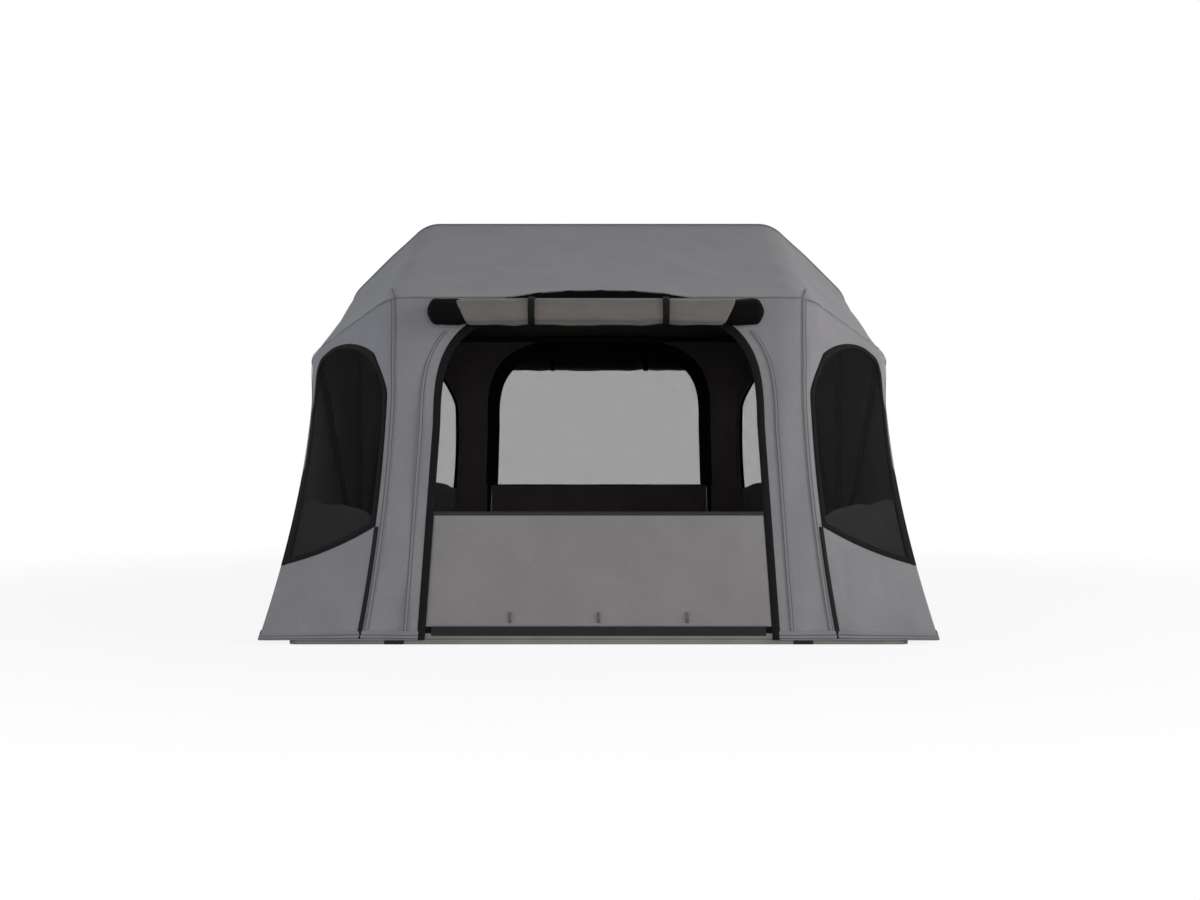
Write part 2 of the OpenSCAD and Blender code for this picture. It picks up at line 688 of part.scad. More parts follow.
color(col_black) to_rear() both_sides() window_binding();  // rear_window_bindings
color(col_black) to_rear() both_sides() corner_zip();  // rear_corner_zips
to_rear() door_binding();  // rear_door_binding
to_rear() door_roll(rear_drop);  // rear_door_roll
to_rear() roll_straps(rear_drop);  // rear_roll_straps
to_rear() door_panel();  // rear_door_panel
to_rear() door_loops();  // rear_door_loops
to_rear() sill();  // rear_sill
to_rear() door_mesh();  // rear_door_mesh
color(col_metal) at_end_bow() bow_tube(end_reach);  // front_bow
color(col_black) at_end_bow() both_sides() bow_eye(bolt_d);  // front_bow_eyes
color(col_metal) translate([0, 0, fold_z]) bow_tube(mid_reach);  // mid_bow
color(col_black) translate([0, 0, fold_z]) both_sides() bow_eye(pin_d);  // mid_bow_eyes
color(col_metal) to_rear() at_end_bow() bow_tube(end_reach);  // rear_bow
color(col_black) to_rear() at_end_bow() both_sides() bow_eye(bolt_d);  // rear_bow_eyes
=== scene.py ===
"""Dresses the roof top tent: cloth canopy, doors, windows, base frame, studio and camera.

The tent's sizes are in millimetres, as in the part's source.
Meshes, finishes and the studio are in metres.
"""

import json
import logging
import math
from dataclasses import dataclass
from enum import Enum
from typing import Callable, Sequence, TypeAlias

import bpy
import numpy as np
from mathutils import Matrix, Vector, noise

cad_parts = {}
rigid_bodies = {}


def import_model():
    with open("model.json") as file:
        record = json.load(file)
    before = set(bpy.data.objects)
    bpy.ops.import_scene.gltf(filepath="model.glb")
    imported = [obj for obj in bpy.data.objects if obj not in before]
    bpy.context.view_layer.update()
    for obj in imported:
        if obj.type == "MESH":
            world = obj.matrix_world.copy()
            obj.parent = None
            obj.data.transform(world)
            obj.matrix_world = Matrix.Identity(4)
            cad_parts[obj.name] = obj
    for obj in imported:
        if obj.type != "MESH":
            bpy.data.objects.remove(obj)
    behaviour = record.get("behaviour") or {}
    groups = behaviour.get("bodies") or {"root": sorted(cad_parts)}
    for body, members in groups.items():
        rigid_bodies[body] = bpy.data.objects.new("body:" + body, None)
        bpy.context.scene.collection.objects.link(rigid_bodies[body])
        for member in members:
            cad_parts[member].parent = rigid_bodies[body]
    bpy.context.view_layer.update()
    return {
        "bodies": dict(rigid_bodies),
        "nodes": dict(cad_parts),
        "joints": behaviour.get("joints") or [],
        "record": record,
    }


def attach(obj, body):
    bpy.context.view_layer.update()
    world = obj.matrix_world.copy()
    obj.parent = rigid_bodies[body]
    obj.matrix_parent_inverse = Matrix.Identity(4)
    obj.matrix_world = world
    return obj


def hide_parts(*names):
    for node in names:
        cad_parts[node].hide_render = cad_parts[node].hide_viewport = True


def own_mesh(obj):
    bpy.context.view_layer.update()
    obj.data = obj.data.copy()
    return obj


LOG = logging.getLogger("roof_tent")
MM = 0.001

Number: TypeAlias = "Value | float"
Screen: TypeAlias = tuple[int, int, int]
Colour: TypeAlias = tuple[float, float, float, float]
Material: TypeAlias = bpy.types.Material
Piece: TypeAlias = bpy.types.Object
Values: TypeAlias = Sequence[float]
Curved: TypeAlias = Callable[[float, float], Vector]

# Stations across a bow: end of the low bend, start of the high one, fold line, eave, middle, far leg.
BOW_LOW, BOW_HIGH, BOW_FOLD, BOW_EAVE, BOW_MID, BOW_END = 3, 6, 8, 10, 13, 26
# Stations around a door: start of the arch, where the wall's rim turns to the eave, middle, far foot.
DOOR_ARCH, DOOR_RIM, DOOR_MID, DOOR_END = 8, 14, 19, 38
# Stations around a window: start of the arch, where its rim meets and leaves the bow, arch's end, far foot.
WIN_ARCH, WIN_IN, WIN_OUT, WIN_FALL, WIN_END = 6, 10, 18, 22, 28
# A ribbon's section: share of its width and of its height.
CROWN = ((0.0, 0.0), (0.12, 0.8), (0.5, 1.0), (0.88, 0.8), (1.0, 0.0))
SIDES = {1: "right", -1: "left"}


def srgb(red: int, green: int, blue: int) -> Colour:
    """A colour written in screen values, as the linear colour a shader takes."""
    return tuple(((c / 255 + 0.055) / 1.055) ** 2.4 for c in (red, green, blue)) + (1.0,)


def shade(colour: Colour, factor: float, lift: float = 0.0) -> Colour:
    """A colour times a factor, plus a lift."""
    return tuple(c * factor + lift for c in colour[:3]) + (1.0,)


def even(count: int, first: float = 0.0, last: float = 1.0) -> np.ndarray:
    """Evenly spaced values from first to last."""
    return np.linspace(first, last, count)


def blend(low: float, high: float, x: float) -> float:
    """A smooth rise from 0 at low to 1 at high."""
    t = min(1.0, max(0.0, (x - low) / (high - low)))
    return t * t * (3 - 2 * t)


def wander(x: float, y: float, seed: float) -> float:
    """Smooth noise from -1 to 1 that is the same at each run."""
    return noise.noise(Vector((x, y, seed)))


@dataclass(frozen=True)
class Fold:
    """One layer of smooth folds: its height, its lengths both ways, its seed and how far it slants."""

    height: float
    wide: float
    tall: float
    seed: float
    slant: float = math.inf

    def at(self, x: float, y: float) -> float:
        """The layer's height at a place."""
        return self.height * wander(x / self.wide + y / self.slant, y / self.tall, self.seed)


def heap(layers: Sequence[Fold], x: float, y: float) -> float:
    """The height of several layers of folds at a place."""
    return sum(layer.at(x, y) for layer in layers)


@dataclass(frozen=True)
class Pucker:
    """Uneven gathers beside a seam: their height, how far they reach, their pitch and their seed."""

    height: float
    reach: float
    pitch: float
    seed: float

    def at(self, s: float) -> float:
        """The gathers' height on the seam, at a place along it."""
        drift = 1.4 * wander(s / 170, 0.0, self.seed)
        uneven = 0.6 + 0.6 * wander(s / 90, 3.0, self.seed)
        return self.height * math.sin(2 * math.pi * (s / self.pitch + drift)) * uneven

    def fade(self, away: float) -> float:
        """The share of the gathers that is left at a distance from the seam."""
        return math.exp(-away / self.reach)


@dataclass(frozen=True)
class HemWave:
    """Waves along a hem: height, length of a radian, start, and where they end and where they are full."""

    height: float
    length: float
    start: float
    end: float
    full: float

    def at(self, s: float, up: float) -> float:
        """The waves' height at a place along the hem and above it."""
        return self.height * blend(self.end, self.full, up) * math.sin(s / self.length + self.start)


class End(Enum):
    """The two ends of the tent, with the sign that turns front sizes to that end."""

    FRONT = 1
    REAR = -1

    @property
    def word(self) -> str:
        """The end's name as it stands in node names."""
        return self.name.lower()

    @property
    def body(self) -> str:
        """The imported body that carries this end's cloth."""
        return f"{self.word}_base"


class Value:
    """A shader value on which arithmetic is written as on a number."""

    def __init__(self, shader: "Shader", socket: bpy.types.NodeSocket) -> None:
        """Keeps the socket and the shader that it belongs to."""
        self.shader = shader
        self.socket = socket

    def math(self, operation: str, *terms: Number) -> "Value":
        """A Math node on this value and the terms, in that order."""
        inputs = dict(enumerate((self, *terms)))
        return self.shader.node("ShaderNodeMath", {"operation": operation}, inputs)

    def __add__(self, other: Number) -> "Value":
        """The sum."""
        return self.math("ADD", other)

    def __sub__(self, other: Number) -> "Value":
        """The difference."""
        return self.math("SUBTRACT", other)

    def __rsub__(self, other: float) -> "Value":
        """A number less this value."""
        return self.shader.node("ShaderNodeMath", {"operation": "SUBTRACT"}, {0: other, 1: self})

    def __mul__(self, other: Number) -> "Value":
        """The product."""
        return self.math("MULTIPLY", other)

    __radd__ = __add__
    __rmul__ = __mul__

    def wave(self, pitch: float) -> "Value":
        """A sine wave of this value, from 0 to 1, that repeats at the pitch."""
        return (self * (2 * math.pi / pitch)).math("SINE") * 0.5 + 0.5

    def rise(self, low: float, high: float) -> "Value":
        """A smooth step from 0 at low to 1 at high."""
        return self.shader.node(
            "ShaderNodeMapRange", {"interpolation_type": "SMOOTHSTEP"}, {0: self, 1: low, 2: high}
        )


class Shader:
    """One material with a Principled BSDF, and the calls that add nodes to it."""

    def __init__(self, name: str) -> None:
        """Starts an empty material of that name."""
        self.material = bpy.data.materials.new(name)
        self.material.use_nodes = True
        self.tree = self.material.node_tree
        self.tree.nodes.clear()
        self.surface = self.tree.nodes.new("ShaderNodeBsdfPrincipled")
        self.output = self.tree.nodes.new("ShaderNodeOutputMaterial")
        self.tree.links.new(self.surface.outputs[0], self.output.inputs[0])

    def node(
        self, kind: str, settings: dict | None = None, inputs: dict | None = None, out: int | str = 0
    ) -> Value:
        """Adds a node.

        Args:
            kind: Blender's node type.
            settings: the node's own properties, set first.
            inputs: socket name or number to a value, a number or a colour.
            out: which output is returned.

        Returns:
            The chosen output.
        """
        made = self.tree.nodes.new(kind)
        for key, value in (settings or {}).items():
            setattr(made, key, value)
        for key, value in (inputs or {}).items():
            self.feed(made.inputs[key], value)
        return Value(self, made.outputs[out])

    def feed(self, socket: bpy.types.NodeSocket, value: "Number | Values") -> None:
        """Links a value to a socket, or sets the number or colour on it."""
        if isinstance(value, Value):
            self.tree.links.new(value.socket, socket)
        else:
            socket.default_value = value

    def put(self, **sockets: "Number | Values") -> None:
        """Feeds sockets of the Principled BSDF; underscores stand for spaces."""
        for key, value in sockets.items():
            self.feed(self.surface.inputs[key.replace("_", " ")], value)

    def place(self) -> Value:
        """The point on the object, in metres."""
        return self.node("ShaderNodeTexCoord", out="Object")

    def cloth_axes(self) -> tuple[Value, Value]:
        """Distances along and across a sheet from its UV map, in metres."""
        flat = self.node("ShaderNodeTexCoord", out="UV")
        apart = self.node("ShaderNodeSeparateXYZ", None, {0: flat})
        return apart, Value(self, apart.socket.node.outputs[1])

    def cloud(
        self, scale: float, detail: float = 3.0, roughness: float = 0.55, stretch: Values | None = None
    ) -> Value:
        """Noise over the object, from 0 to 1, stretched along an axis where stretch is given."""
        where = self.place()
        if stretch is not None:
            where = self.node("ShaderNodeMapping", None, {0: where, "Scale": stretch})
        inputs = {"Vector": where, "Scale": scale, "Detail": detail, "Roughness": roughness}
        return self.node("ShaderNodeTexNoise", None, inputs)

    def mix(self, share: Value, first: "Value | Colour", second: "Value | Colour") -> Value:
        """A colour between two, by share."""
        made = self.tree.nodes.new("ShaderNodeMix")
        made.data_type = "RGBA"
        self.feed(made.inputs["Factor"], share)
        self.feed(made.inputs[6], first)
        self.feed(made.inputs[7], second)
        return Value(self, made.outputs[2])

    def bump(self, height: Value, depth: float, strength: float = 1.0, under: Value | None = None) -> Value:
        """A bump of that depth in metres, laid over another one where under is given."""
        inputs = {"Strength": strength, "Distance": depth, "Height": height}
        if under is not None:
            inputs["Normal"] = under
        return self.node("ShaderNodeBump", None, inputs)


@dataclass(frozen=True)
class ClothFinish:
    """Woven cloth with a plain weave, uneven dye and soft creases."""

    name: str
    colour: Screen
    weave: float = 0.0012
    mottle: float = 0.10
    crease: float = 0.0009
    rough: float = 0.86
    sheen: float = 0.12
    gloss: float = 0.25
    dye_scale: float = 9.0
    slub_scale: float = 160.0
    crease_scale: float = 26.0
    thread_depth: float = 0.00012

    def make(self) -> Material:
        """Builds the material."""
        shader = Shader(self.name)
        along, over = shader.cloth_axes()
        warp, weft = along.wave(self.weave), over.wave(self.weave)
        thread = warp * weft + (1 - warp) * (1 - weft)
        dye = shader.cloud(self.dye_scale, 4.0)
        slub = shader.cloud(self.slub_scale, 2.0, 0.6)
        base = srgb(*self.colour)
        dark, pale = shade(base, 1 - self.mottle), shade(base, 1 + self.mottle)
        share = (dye * 0.45 + slub * 0.35 + thread * 0.2).rise(0.25, 0.75)
        shader.put(Base_Color=shader.mix(share, dark, pale), Roughness=self.rough + slub * 0.08)
        shader.put(Sheen_Weight=self.sheen, Sheen_Roughness=0.5, Specular_IOR_Level=self.gloss)
        soft = shader.bump(shader.cloud(self.crease_scale, 3.0, 0.5), self.crease, 0.5)
        shader.put(Normal=shader.bump(thread + slub * 0.6, self.thread_depth, 0.35, soft))
        return shader.material


@dataclass(frozen=True)
class MeshFinish:
    """Fine knitted insect mesh: dark threads with open holes between them."""

    name: str
    colour: Screen
    pitch: float = 0.0022
    closed: float = 0.5
    haze: float = 0.2
    dusty: float = 1.7
    depth: float = 0.0003

    def make(self) -> Material:
        """Builds the material."""
        shader = Shader(self.name)
        along, over = shader.cloth_axes()
        cross = (along + over).wave(self.pitch) * (along - over).wave(self.pitch)
        thread = 1 - cross.rise(0.06, 0.06 + 0.6 * self.closed)
        dust = shader.cloud(30.0, 3.0)
        base = srgb(*self.colour)
        shader.put(Base_Color=shader.mix(dust, base, shade(base, self.dusty)), Roughness=0.7 + dust * 0.15)
        cover = (thread * (1 - self.haze) + self.haze).math("MINIMUM", 1.0)
        shader.put(Alpha=cover, Specular_IOR_Level=0.08)
        shader.put(Normal=shader.bump(thread, self.depth, 0.4))
        return shader.material


@dataclass(frozen=True)
class TapeFinish:
    """Ribbed woven tape for bindings, straps and loops."""

    name: str
    colour: Screen
    rib: float = 0.0016
    rough: float = 0.72
    worn: float = 1.8
    depth: float = 0.0003

    def make(self) -> Material:
        """Builds the material."""
        shader = Shader(self.name)
        along, over = shader.cloth_axes()
        ribs = (along + over.wave(self.rib) * 0.0004).wave(self.rib)
        fluff = shader.cloud(90.0, 3.0)
        base = srgb(*self.colour)
        share = (fluff * 0.6 + ribs * 0.4).rise(0.3, 0.9)
        shader.put(Base_Color=shader.mix(share, base, shade(base, self.worn)))
        shader.put(Roughness=self.rough + fluff * 0.12, Specular_IOR_Level=0.12)
        shader.put(Normal=shader.bump(ribs + fluff * 0.5, self.depth, 0.5))
        return shader.material


@dataclass(frozen=True)
class SeamFinish:
    """A felled seam of the canopy cloth with two rows of stitches."""

    name: str
    colour: Screen
    rows: tuple[float, float] = (0.0026, 0.0098)
    stitch: float = 0.0046
    thread: float = 0.0007
    sunk: float = 0.0012
    shadow: float = 0.34

    def make(self) -> Material:
        """Builds the material."""
        shader = Shader(self.name)
        along, over = shader.cloth_axes()
        lines = None
        for row in self.rows:
            line = 1 - (over - row).math("ABSOLUTE").rise(self.thread, 2 * self.thread)
            lines = line if lines is None else lines.math("MAXIMUM", line)
        dash = along.wave(self.stitch).rise(0.12, 0.3)
        slub = shader.cloud(160.0, 2.0, 0.6)
        base = srgb(*self.colour)
        cloth = shader.mix(slub, shade(base, 0.9), base)
        sewn = shader.mix(lines * dash, cloth, shade(base, self.shadow))
        shader.put(Base_Color=sewn, Roughness=0.84 + slub * 0.1, Sheen_Weight=0.1, Specular_IOR_Level=0.25)
        shader.put(Normal=shader.bump(slub * 0.4 - lines * (1.2 - dash), self.sunk, 1.0))
        return shader.material


@dataclass(frozen=True)
class ZipFinish:
    """A coil zip: two tapes and a row of teeth down the middle."""

    name: str
    colour: Screen
    middle: float = 0.0055
    tooth: float = 0.0022
    coil: tuple[float, float] = (0.0018, 0.0026)
    depth: float = 0.0009

    def make(self) -> Material:
        """Builds the material."""
        shader = Shader(self.name)
        along, over = shader.cloth_axes()
        coil = 1 - (over - self.middle).math("ABSOLUTE").rise(*self.coil)
        teeth = along.wave(self.tooth)
        fluff = shader.cloud(120.0, 3.0)
        base = srgb(*self.colour)
        shader.put(Base_Color=shader.mix(coil * teeth * 0.7 + fluff * 0.2, base, shade(base, 2.0)))
        shader.put(Roughness=0.75 - coil * 0.2, Specular_IOR_Level=0.15)
        shader.put(Normal=shader.bump(coil * (0.6 + teeth * 0.6) + fluff * 0.1, self.depth, 0.7))
        return shader.material


@dataclass(frozen=True)
class MetalFinish:
    """Satin metal with fine draw lines, faint smudges and rubbed patches."""

    name: str
    colour: Screen
    lines: tuple[float, float, float] = (1.0, 60.0, 60.0)
    rough: float = 0.42
    metal: float = 0.85
    wear: float = 0.2
    depth: float = 0.00008

    def make(self) -> Material:
        """Builds the material."""
        shader = Shader(self.name)
        drawn = shader.cloud(40.0, 2.0, 0.6, self.lines)
        smudge = shader.cloud(14.0, 4.0)
        base = srgb(*self.colour)
        shader.put(Base_Color=shader.mix(smudge.rise(0.3, 0.75), shade(base, 1 - self.wear), base))
        shader.put(Roughness=self.rough + smudge * 0.14 + drawn * 0.08, Metallic=self.metal)
        shader.put(Normal=shader.bump(drawn, self.depth, 0.4))
        return shader.material


@dataclass(frozen=True)
class PlasticFinish:
    """Moulded plastic with a fine spark grain."""

    name: str
    colour: Screen
    rough: float = 0.55
    depth: float = 0.00015

    def make(self) -> Material:
        """Builds the material."""
        shader = Shader(self.name)
        grain = shader.cloud(900.0, 2.0)
        scuff = shader.cloud(20.0, 4.0)
        base = srgb(*self.colour)
        shader.put(Base_Color=shader.mix(scuff.rise(0.45, 0.8), base, shade(base, 1.6, 0.003)))
        shader.put(Roughness=self.rough + scuff * 0.15, Specular_IOR_Level=0.2)
        shader.put(Normal=shader.bump(grain, self.depth, 0.35))
        return shader.material


class Palette:
    """The tent's finishes, each made once and shared."""

    def __init__(self) -> None:
        """Makes every material."""
        self.canopy = ClothFinish("canopy_cloth", (122, 122, 126)).make()
        self.lining = ClothFinish("canopy_lining", (80, 76, 75), mottle=0.2, sheen=0.0).make()
        net = ClothFinish("rolled_mesh", (7, 7, 8), mottle=0.3, crease=0.003, sheen=0.0, gloss=0.06)
        self.net = net.make()
        self.flap = ClothFinish("door_cloth", (122, 120, 121), crease=0.0012).make()
        self.rolled = ClothFinish("rolled_flap", (98, 94, 91), crease=0.0018).make()
        self.hem = TapeFinish("panel_hem", (40, 40, 43)).make()
        self.loop = SeamFinish("loop_tape", (92, 90, 91), rows=(0.0008, 0.0062)).make()
        self.cover = ClothFinish("window_cover_cloth", (106, 106, 108), crease=0.0015).make()
        self.mesh = MeshFinish("insect_mesh", (10, 10, 11)).make()
        self.seam = SeamFinish("felled_seam", (120, 120, 124)).make()
        self.tape = TapeFinish("black_tape", (7, 7, 8)).make()
        self.zip = ZipFinish("corner_zip", (7, 7, 8)).make()
        self.mattress = ClothFinish("mattress_cover", (62, 62, 66), weave=0.002).make()
        self.floor = MetalFinish("floor_skin", (150, 150, 150), rough=0.5, wear=0.05).make()
        self.alloy = MetalFinish("frame_alloy", (102, 101, 96)).make()
        self.bow = MetalFinish("bow_tube", (36, 36, 38), rough=0.6).make()
        self.steel = MetalFinish("hinge_steel", (150, 150, 152), lines=(30.0, 1.0, 30.0)).make()
        self.plastic = PlasticFinish("black_plastic", (10, 10, 11)).make()

    def for_slot(self, slot: str) -> Material:
        """The finish of a slot named in the record."""
        return {
            "canopy_cloth": self.canopy,
            "door_cloth": self.flap,
            "mesh": self.mesh,
            "black_webbing": self.tape,
            "mattress_cover": self.mattress,
            "floor_skin": self.floor,
            "frame_alloy": self.alloy,
            "bow_tube": self.bow,
            "hinge_steel": self.steel,
            "black_plastic": self.plastic,
        }[slot]


@dataclass(frozen=True)
class TentShape:
    """The tent's curves and panel surfaces, written for the front right.

    Sizes are the part's own. The door's width and taper, the fold line's bow and the window's arch
    are the cloth's.
    """

    half_w: float = 710.0
    half_l: float = 1200.0
    rail_h: float = 25.0
    leg_x: float = 697.0
    fold_z: float = 130.0
    pivot_y: float = 70.0
    pivot_z: float = 100.0
    mid_reach: float = 945.0
    end_reach: float = 1119.0
    bow_angle: float = 38.6
    chamfer: float = 202.0
    bend_r: float = 80.0
    mid_off: float = 13.2
    end_off: float = 15.357
    hem_z: float = 11.0
    hem_y: float = 1210.4
    flare: float = 66.0
    fold_x: float = 541.0
    leg_share: float = 0.06
    fold_bow: float = 80.0
    door_w: float = 412.0
    door_taper: float = 23.0
    door_spring: float = 500.0
    door_drop: float = 12.0
    door_round: float = 0.62
    win_in: float = 0.05
    win_out: float = 0.965
    win_low: float = 0.33
    win_fall: tuple[float, float] = (0.094, 0.045)
    win_knee: tuple[float, float] = (0.25, 0.853)
    win_crest: tuple[float, float] = (0.55, 0.966)
    win_side: float = 0.816
    win_rise: float = 1.55
    win_slope: float = 0.077
    win_dip: float = 0.048
    rim_in: tuple[float, float] = (0.8, 0.05)
    rim_out: tuple[float, float] = (0.66, 0.085)
    ridge_pull: tuple[float, float] = (0.76, 1.15)
    girth: tuple[float, float, float] = (720.0, 1200.0, 1000.0)
    swell: float = 7.0
    swell_low: tuple[float, float] = (540.0, 110.0)
    swell_high: tuple[float, float] = (1085.0, -90.0)
    swell_out: tuple[float, float] = (350.0, 290.0)

    @classmethod
    def of(cls, end: End) -> "TentShape":
        """The shape at one end: at the rear the door is narrower and the fold line bows in more."""
        return cls() if end is End.FRONT else cls(fold_bow=170.0, door_w=404.0)

    @property
    def tangent(self) -> float:
        """Length of a bend's tangent on the bows."""
        return self.bend_r * math.tan(math.radians(22.5))

    def across(self, reach: float, off: float, k: float) -> tuple[float, float]:
        """A point of the cloth line over a bow; k runs from 0 at the right leg to BOW_END at the left."""
        if k > BOW_MID:
            x, z = self.across(reach, off, BOW_END - k)
            return -x, z
        r = self.bend_r + off
        low = (self.leg_x - self.bend_r, reach - self.chamfer - self.tangent)
        high = (self.leg_x - self.chamfer - self.tangent, reach - self.bend_r)
        if k <= BOW_LOW:
            a = math.radians(45 / BOW_LOW * k)
            return low[0] + r * math.cos(a), low[1] + r * math.sin(a)
        if k < BOW_HIGH:
            h = r * math.sqrt(0.5)
            t = (k - BOW_LOW) / (BOW_HIGH - BOW_LOW)
            return low[0] + h + (high[0] - low[0]) * t, low[1] + h + (high[1] - low[1]) * t
        a = math.radians(45 + 45 / (BOW_EAVE - BOW_HIGH) * (min(k, BOW_EAVE) - BOW_HIGH))
        x, z = high[0] + r * math.cos(a), high[1] + r * math.sin(a)
        return (x, z) if k <= BOW_EAVE else (x * (BOW_MID - k) / (BOW_MID - BOW_EAVE), z)

    def tilt(self, q: tuple[float, float]) -> Vector:
        """A bow point laid over at the end bow's angle."""
        a = math.radians(self.bow_angle)
        return Vector((q[0], -self.pivot_y - q[1] * math.cos(a), self.pivot_z + q[1] * math.sin(a)))

    def end_pt(self, k: float) -> Vector:
        """The cloth line over the end bow."""
        return self.tilt(self.across(self.end_reach, self.end_off, k))

    def mid_pt(self, k: float) -> Vector:
        """The cloth line over the middle bow."""
        x, z = self.across(self.mid_reach, self.mid_off, k)
        return Vector((x, -1.0, self.fold_z + z))

    def out(self, p: Vector) -> Vector:
        """The outward direction of the cloth at a point."""
        return Vector([(at / size) ** 3 / size for at, size in zip(p, self.girth)]).normalized()

    def fold_pt(self, v: float) -> Vector:
        """The fold line between the end wall and the right corner."""
        a = Vector((self.fold_x, -self.hem_y, self.hem_z))
        return a.lerp(self.end_pt(BOW_FOLD), v) - Vector((self.fold_bow * v * (1 - v), 0, 0))

    def ridge_pt(self, v: float) -> Vector:
        """The hollow ridge between the right corner and the side."""
        b = self.end_pt(0)
        a = self.leg_x + self.mid_off + self.flare
        w = 1 - v
        low, high = (3 * (a - pull * self.flare) for pull in self.ridge_pull)
        x = a * w**3 + low * v * w * w + high * v * v * w + b.x * v**3
        return Vector((x, -self.hem_y + (b.y + self.hem_y) * v, self.hem_z + (b.z - self.hem_z) * v))

    def skirt(self, b: float) -> float:
        """The side cloth's distance from the middle."""
        return self.leg_x + self.mid_off + self.flare * (1 - b) ** 5

    def leg_y(self, z: float) -> float:
        """The end bow leg's place along the tent at a height."""
        return -self.pivot_y - max(0.0, z - self.pivot_z) / math.tan(math.radians(self.bow_angle))

    def leg_pt(self, b: float) -> Vector:
        """The line where the side lies on the end bow's leg."""
        e = self.end_pt(0).lerp(self.mid_pt(0), self.leg_share)
        z = self.hem_z + (e.z - self.hem_z) * b
        x = self.skirt(b) + (e.x - self.leg_x - self.mid_off) * b
        return Vector((x, self.leg_y(z) + (e.y - self.leg_y(e.z)) * b**4, z))

    def side_pt(self, b: float) -> Vector:
        """The side's line under the middle bow."""
        return Vector((self.skirt(b), -1.0, self.hem_z + (self.mid_pt(0).z - self.hem_z) * b))

    def corner_pt(self, u: float, v: float) -> Vector:
        """The corner panel: u from fold line to ridge, v from hem to bow."""
        flat = self.end_pt(BOW_FOLD).lerp(self.end_pt(0), u)
        return self.fold_pt(v).lerp(self.ridge_pt(v), u) + (self.end_pt(BOW_FOLD * (1 - u)) - flat) * v**3

    def wall_top(self, x: float) -> Vector:
        """The end wall's upper edge."""
        r = self.bend_r + self.end_off
        over = max(0.0, abs(x) - (self.leg_x - self.chamfer - self.tangent))
        return self.tilt((x, self.end_reach - self.bend_r + math.sqrt(r * r - over * over)))

    def wall_pt(self, x: float, v: float) -> Vector:
        """The end wall: x across, v from hem to bow."""
        f, e = self.fold_pt(v), self.end_pt(BOW_FOLD)
        t = self.wall_top(x / f.x * e.x)
        return Vector((x, f.y + (t.y - e.y) * v**3, f.z + (t.z - e.z) * v**3))

    def wall_v(self, z: float) -> float:
        """The wall's share of height at z."""
        return (z - self.hem_z) / (self.end_pt(BOW_FOLD).z - self.hem_z)

    def on_wall(self, x: float, z: float) -> Vector:
        """The wall point nearest to a place given by x and height."""
        return self.wall_pt(x, self.wall_v(z))

    @property
    def eave_z(self) -> float:
        """Height of the eave."""
        return self.end_pt(BOW_EAVE).z

    @property
    def lean(self) -> float:
        """The end wall's lean from upright, in radians."""
        e = self.end_pt(BOW_EAVE)
        return math.atan2(self.hem_y + e.y, e.z - self.hem_z)

    def door_pt(self, s: float, inset: float = 0.0) -> tuple[float, float]:
        """The door's outline as x and height; s runs from 0 at the right foot to DOOR_END at the left."""
        w, top, spring = self.door_w - inset, self.eave_z - self.door_drop - inset, self.door_spring
        if s > DOOR_MID:
            x, z = self.door_pt(DOOR_END - s, inset)
            return -x, z
        if s < DOOR_ARCH:
            return w - self.door_taper * s / DOOR_ARCH, self.hem_z + (spring - self.hem_z) * s / DOOR_ARCH
        a = math.pi * (s - DOOR_ARCH) / (DOOR_END - 2 * DOOR_ARCH)
        c, n = max(0.0, math.cos(a)), math.sin(a)
        return (w - self.door_taper) * c**self.door_round, spring + (top - spring) * n**self.door_round

    def win_base(self, u: float) -> float:
        """The window's lower edge as a share of height."""
        return self.win_low - self.win_slope * u - self.win_dip * u * (1 - u)

    def win_edge(self, s: float) -> tuple[float, float]:
        """The window's outline in corner shares; s runs from 0 at the lower inner corner to WIN_END."""
        centre, half = (self.win_in + self.win_out) / 2, (self.win_out - self.win_in) / 2
        arch = WIN_FALL - WIN_ARCH
        u = centre - half * math.cos(math.pi * min(arch, max(0.0, s - WIN_ARCH)) / arch)
        (knee_u, knee_v), (crest_u, crest_v) = self.win_knee, self.win_crest
        if u < knee_u:
            x = min(1.0, (knee_u - u) / (knee_u - self.win_in))
            top = knee_v - self.win_fall[0] * x - self.win_fall[1] * (1 - math.sqrt(1 - x * x))
        elif u < crest_u:
            top = crest_v - (crest_v - knee_v) * ((crest_u - u) / (crest_u - knee_u)) ** self.win_rise
        else:
            top = crest_v - (crest_v - self.win_side) * ((u - crest_u) / (self.win_out - crest_u)) ** 2
        share = min(1.0, s / WIN_ARCH, (WIN_END - s) / WIN_ARCH)
        return u, self.win_base(u) + (top - self.win_base(u)) * share

    def win_rim(self, s: float) -> tuple[float, float]:
        """The corner panel's outer edge that faces a point of the window's outline."""
        (inner, inner_step), (outer, outer_step) = self.rim_in, self.rim_out
        if s <= WIN_ARCH:
            return 0.0, self.win_base(0) + (inner - self.win_base(0)) * s / WIN_ARCH
        if s <= WIN_IN:
            return 0.0, inner + inner_step * (s - WIN_ARCH)
        if s <= WIN_OUT:
            return (s - WIN_IN) / (WIN_OUT - WIN_IN), 1.0
        if s <= WIN_FALL:
            return 1.0, 1 - outer_step * (s - WIN_OUT)
        return 1.0, outer + (self.win_base(1) - outer) * (s - WIN_FALL) / (WIN_END - WIN_FALL)


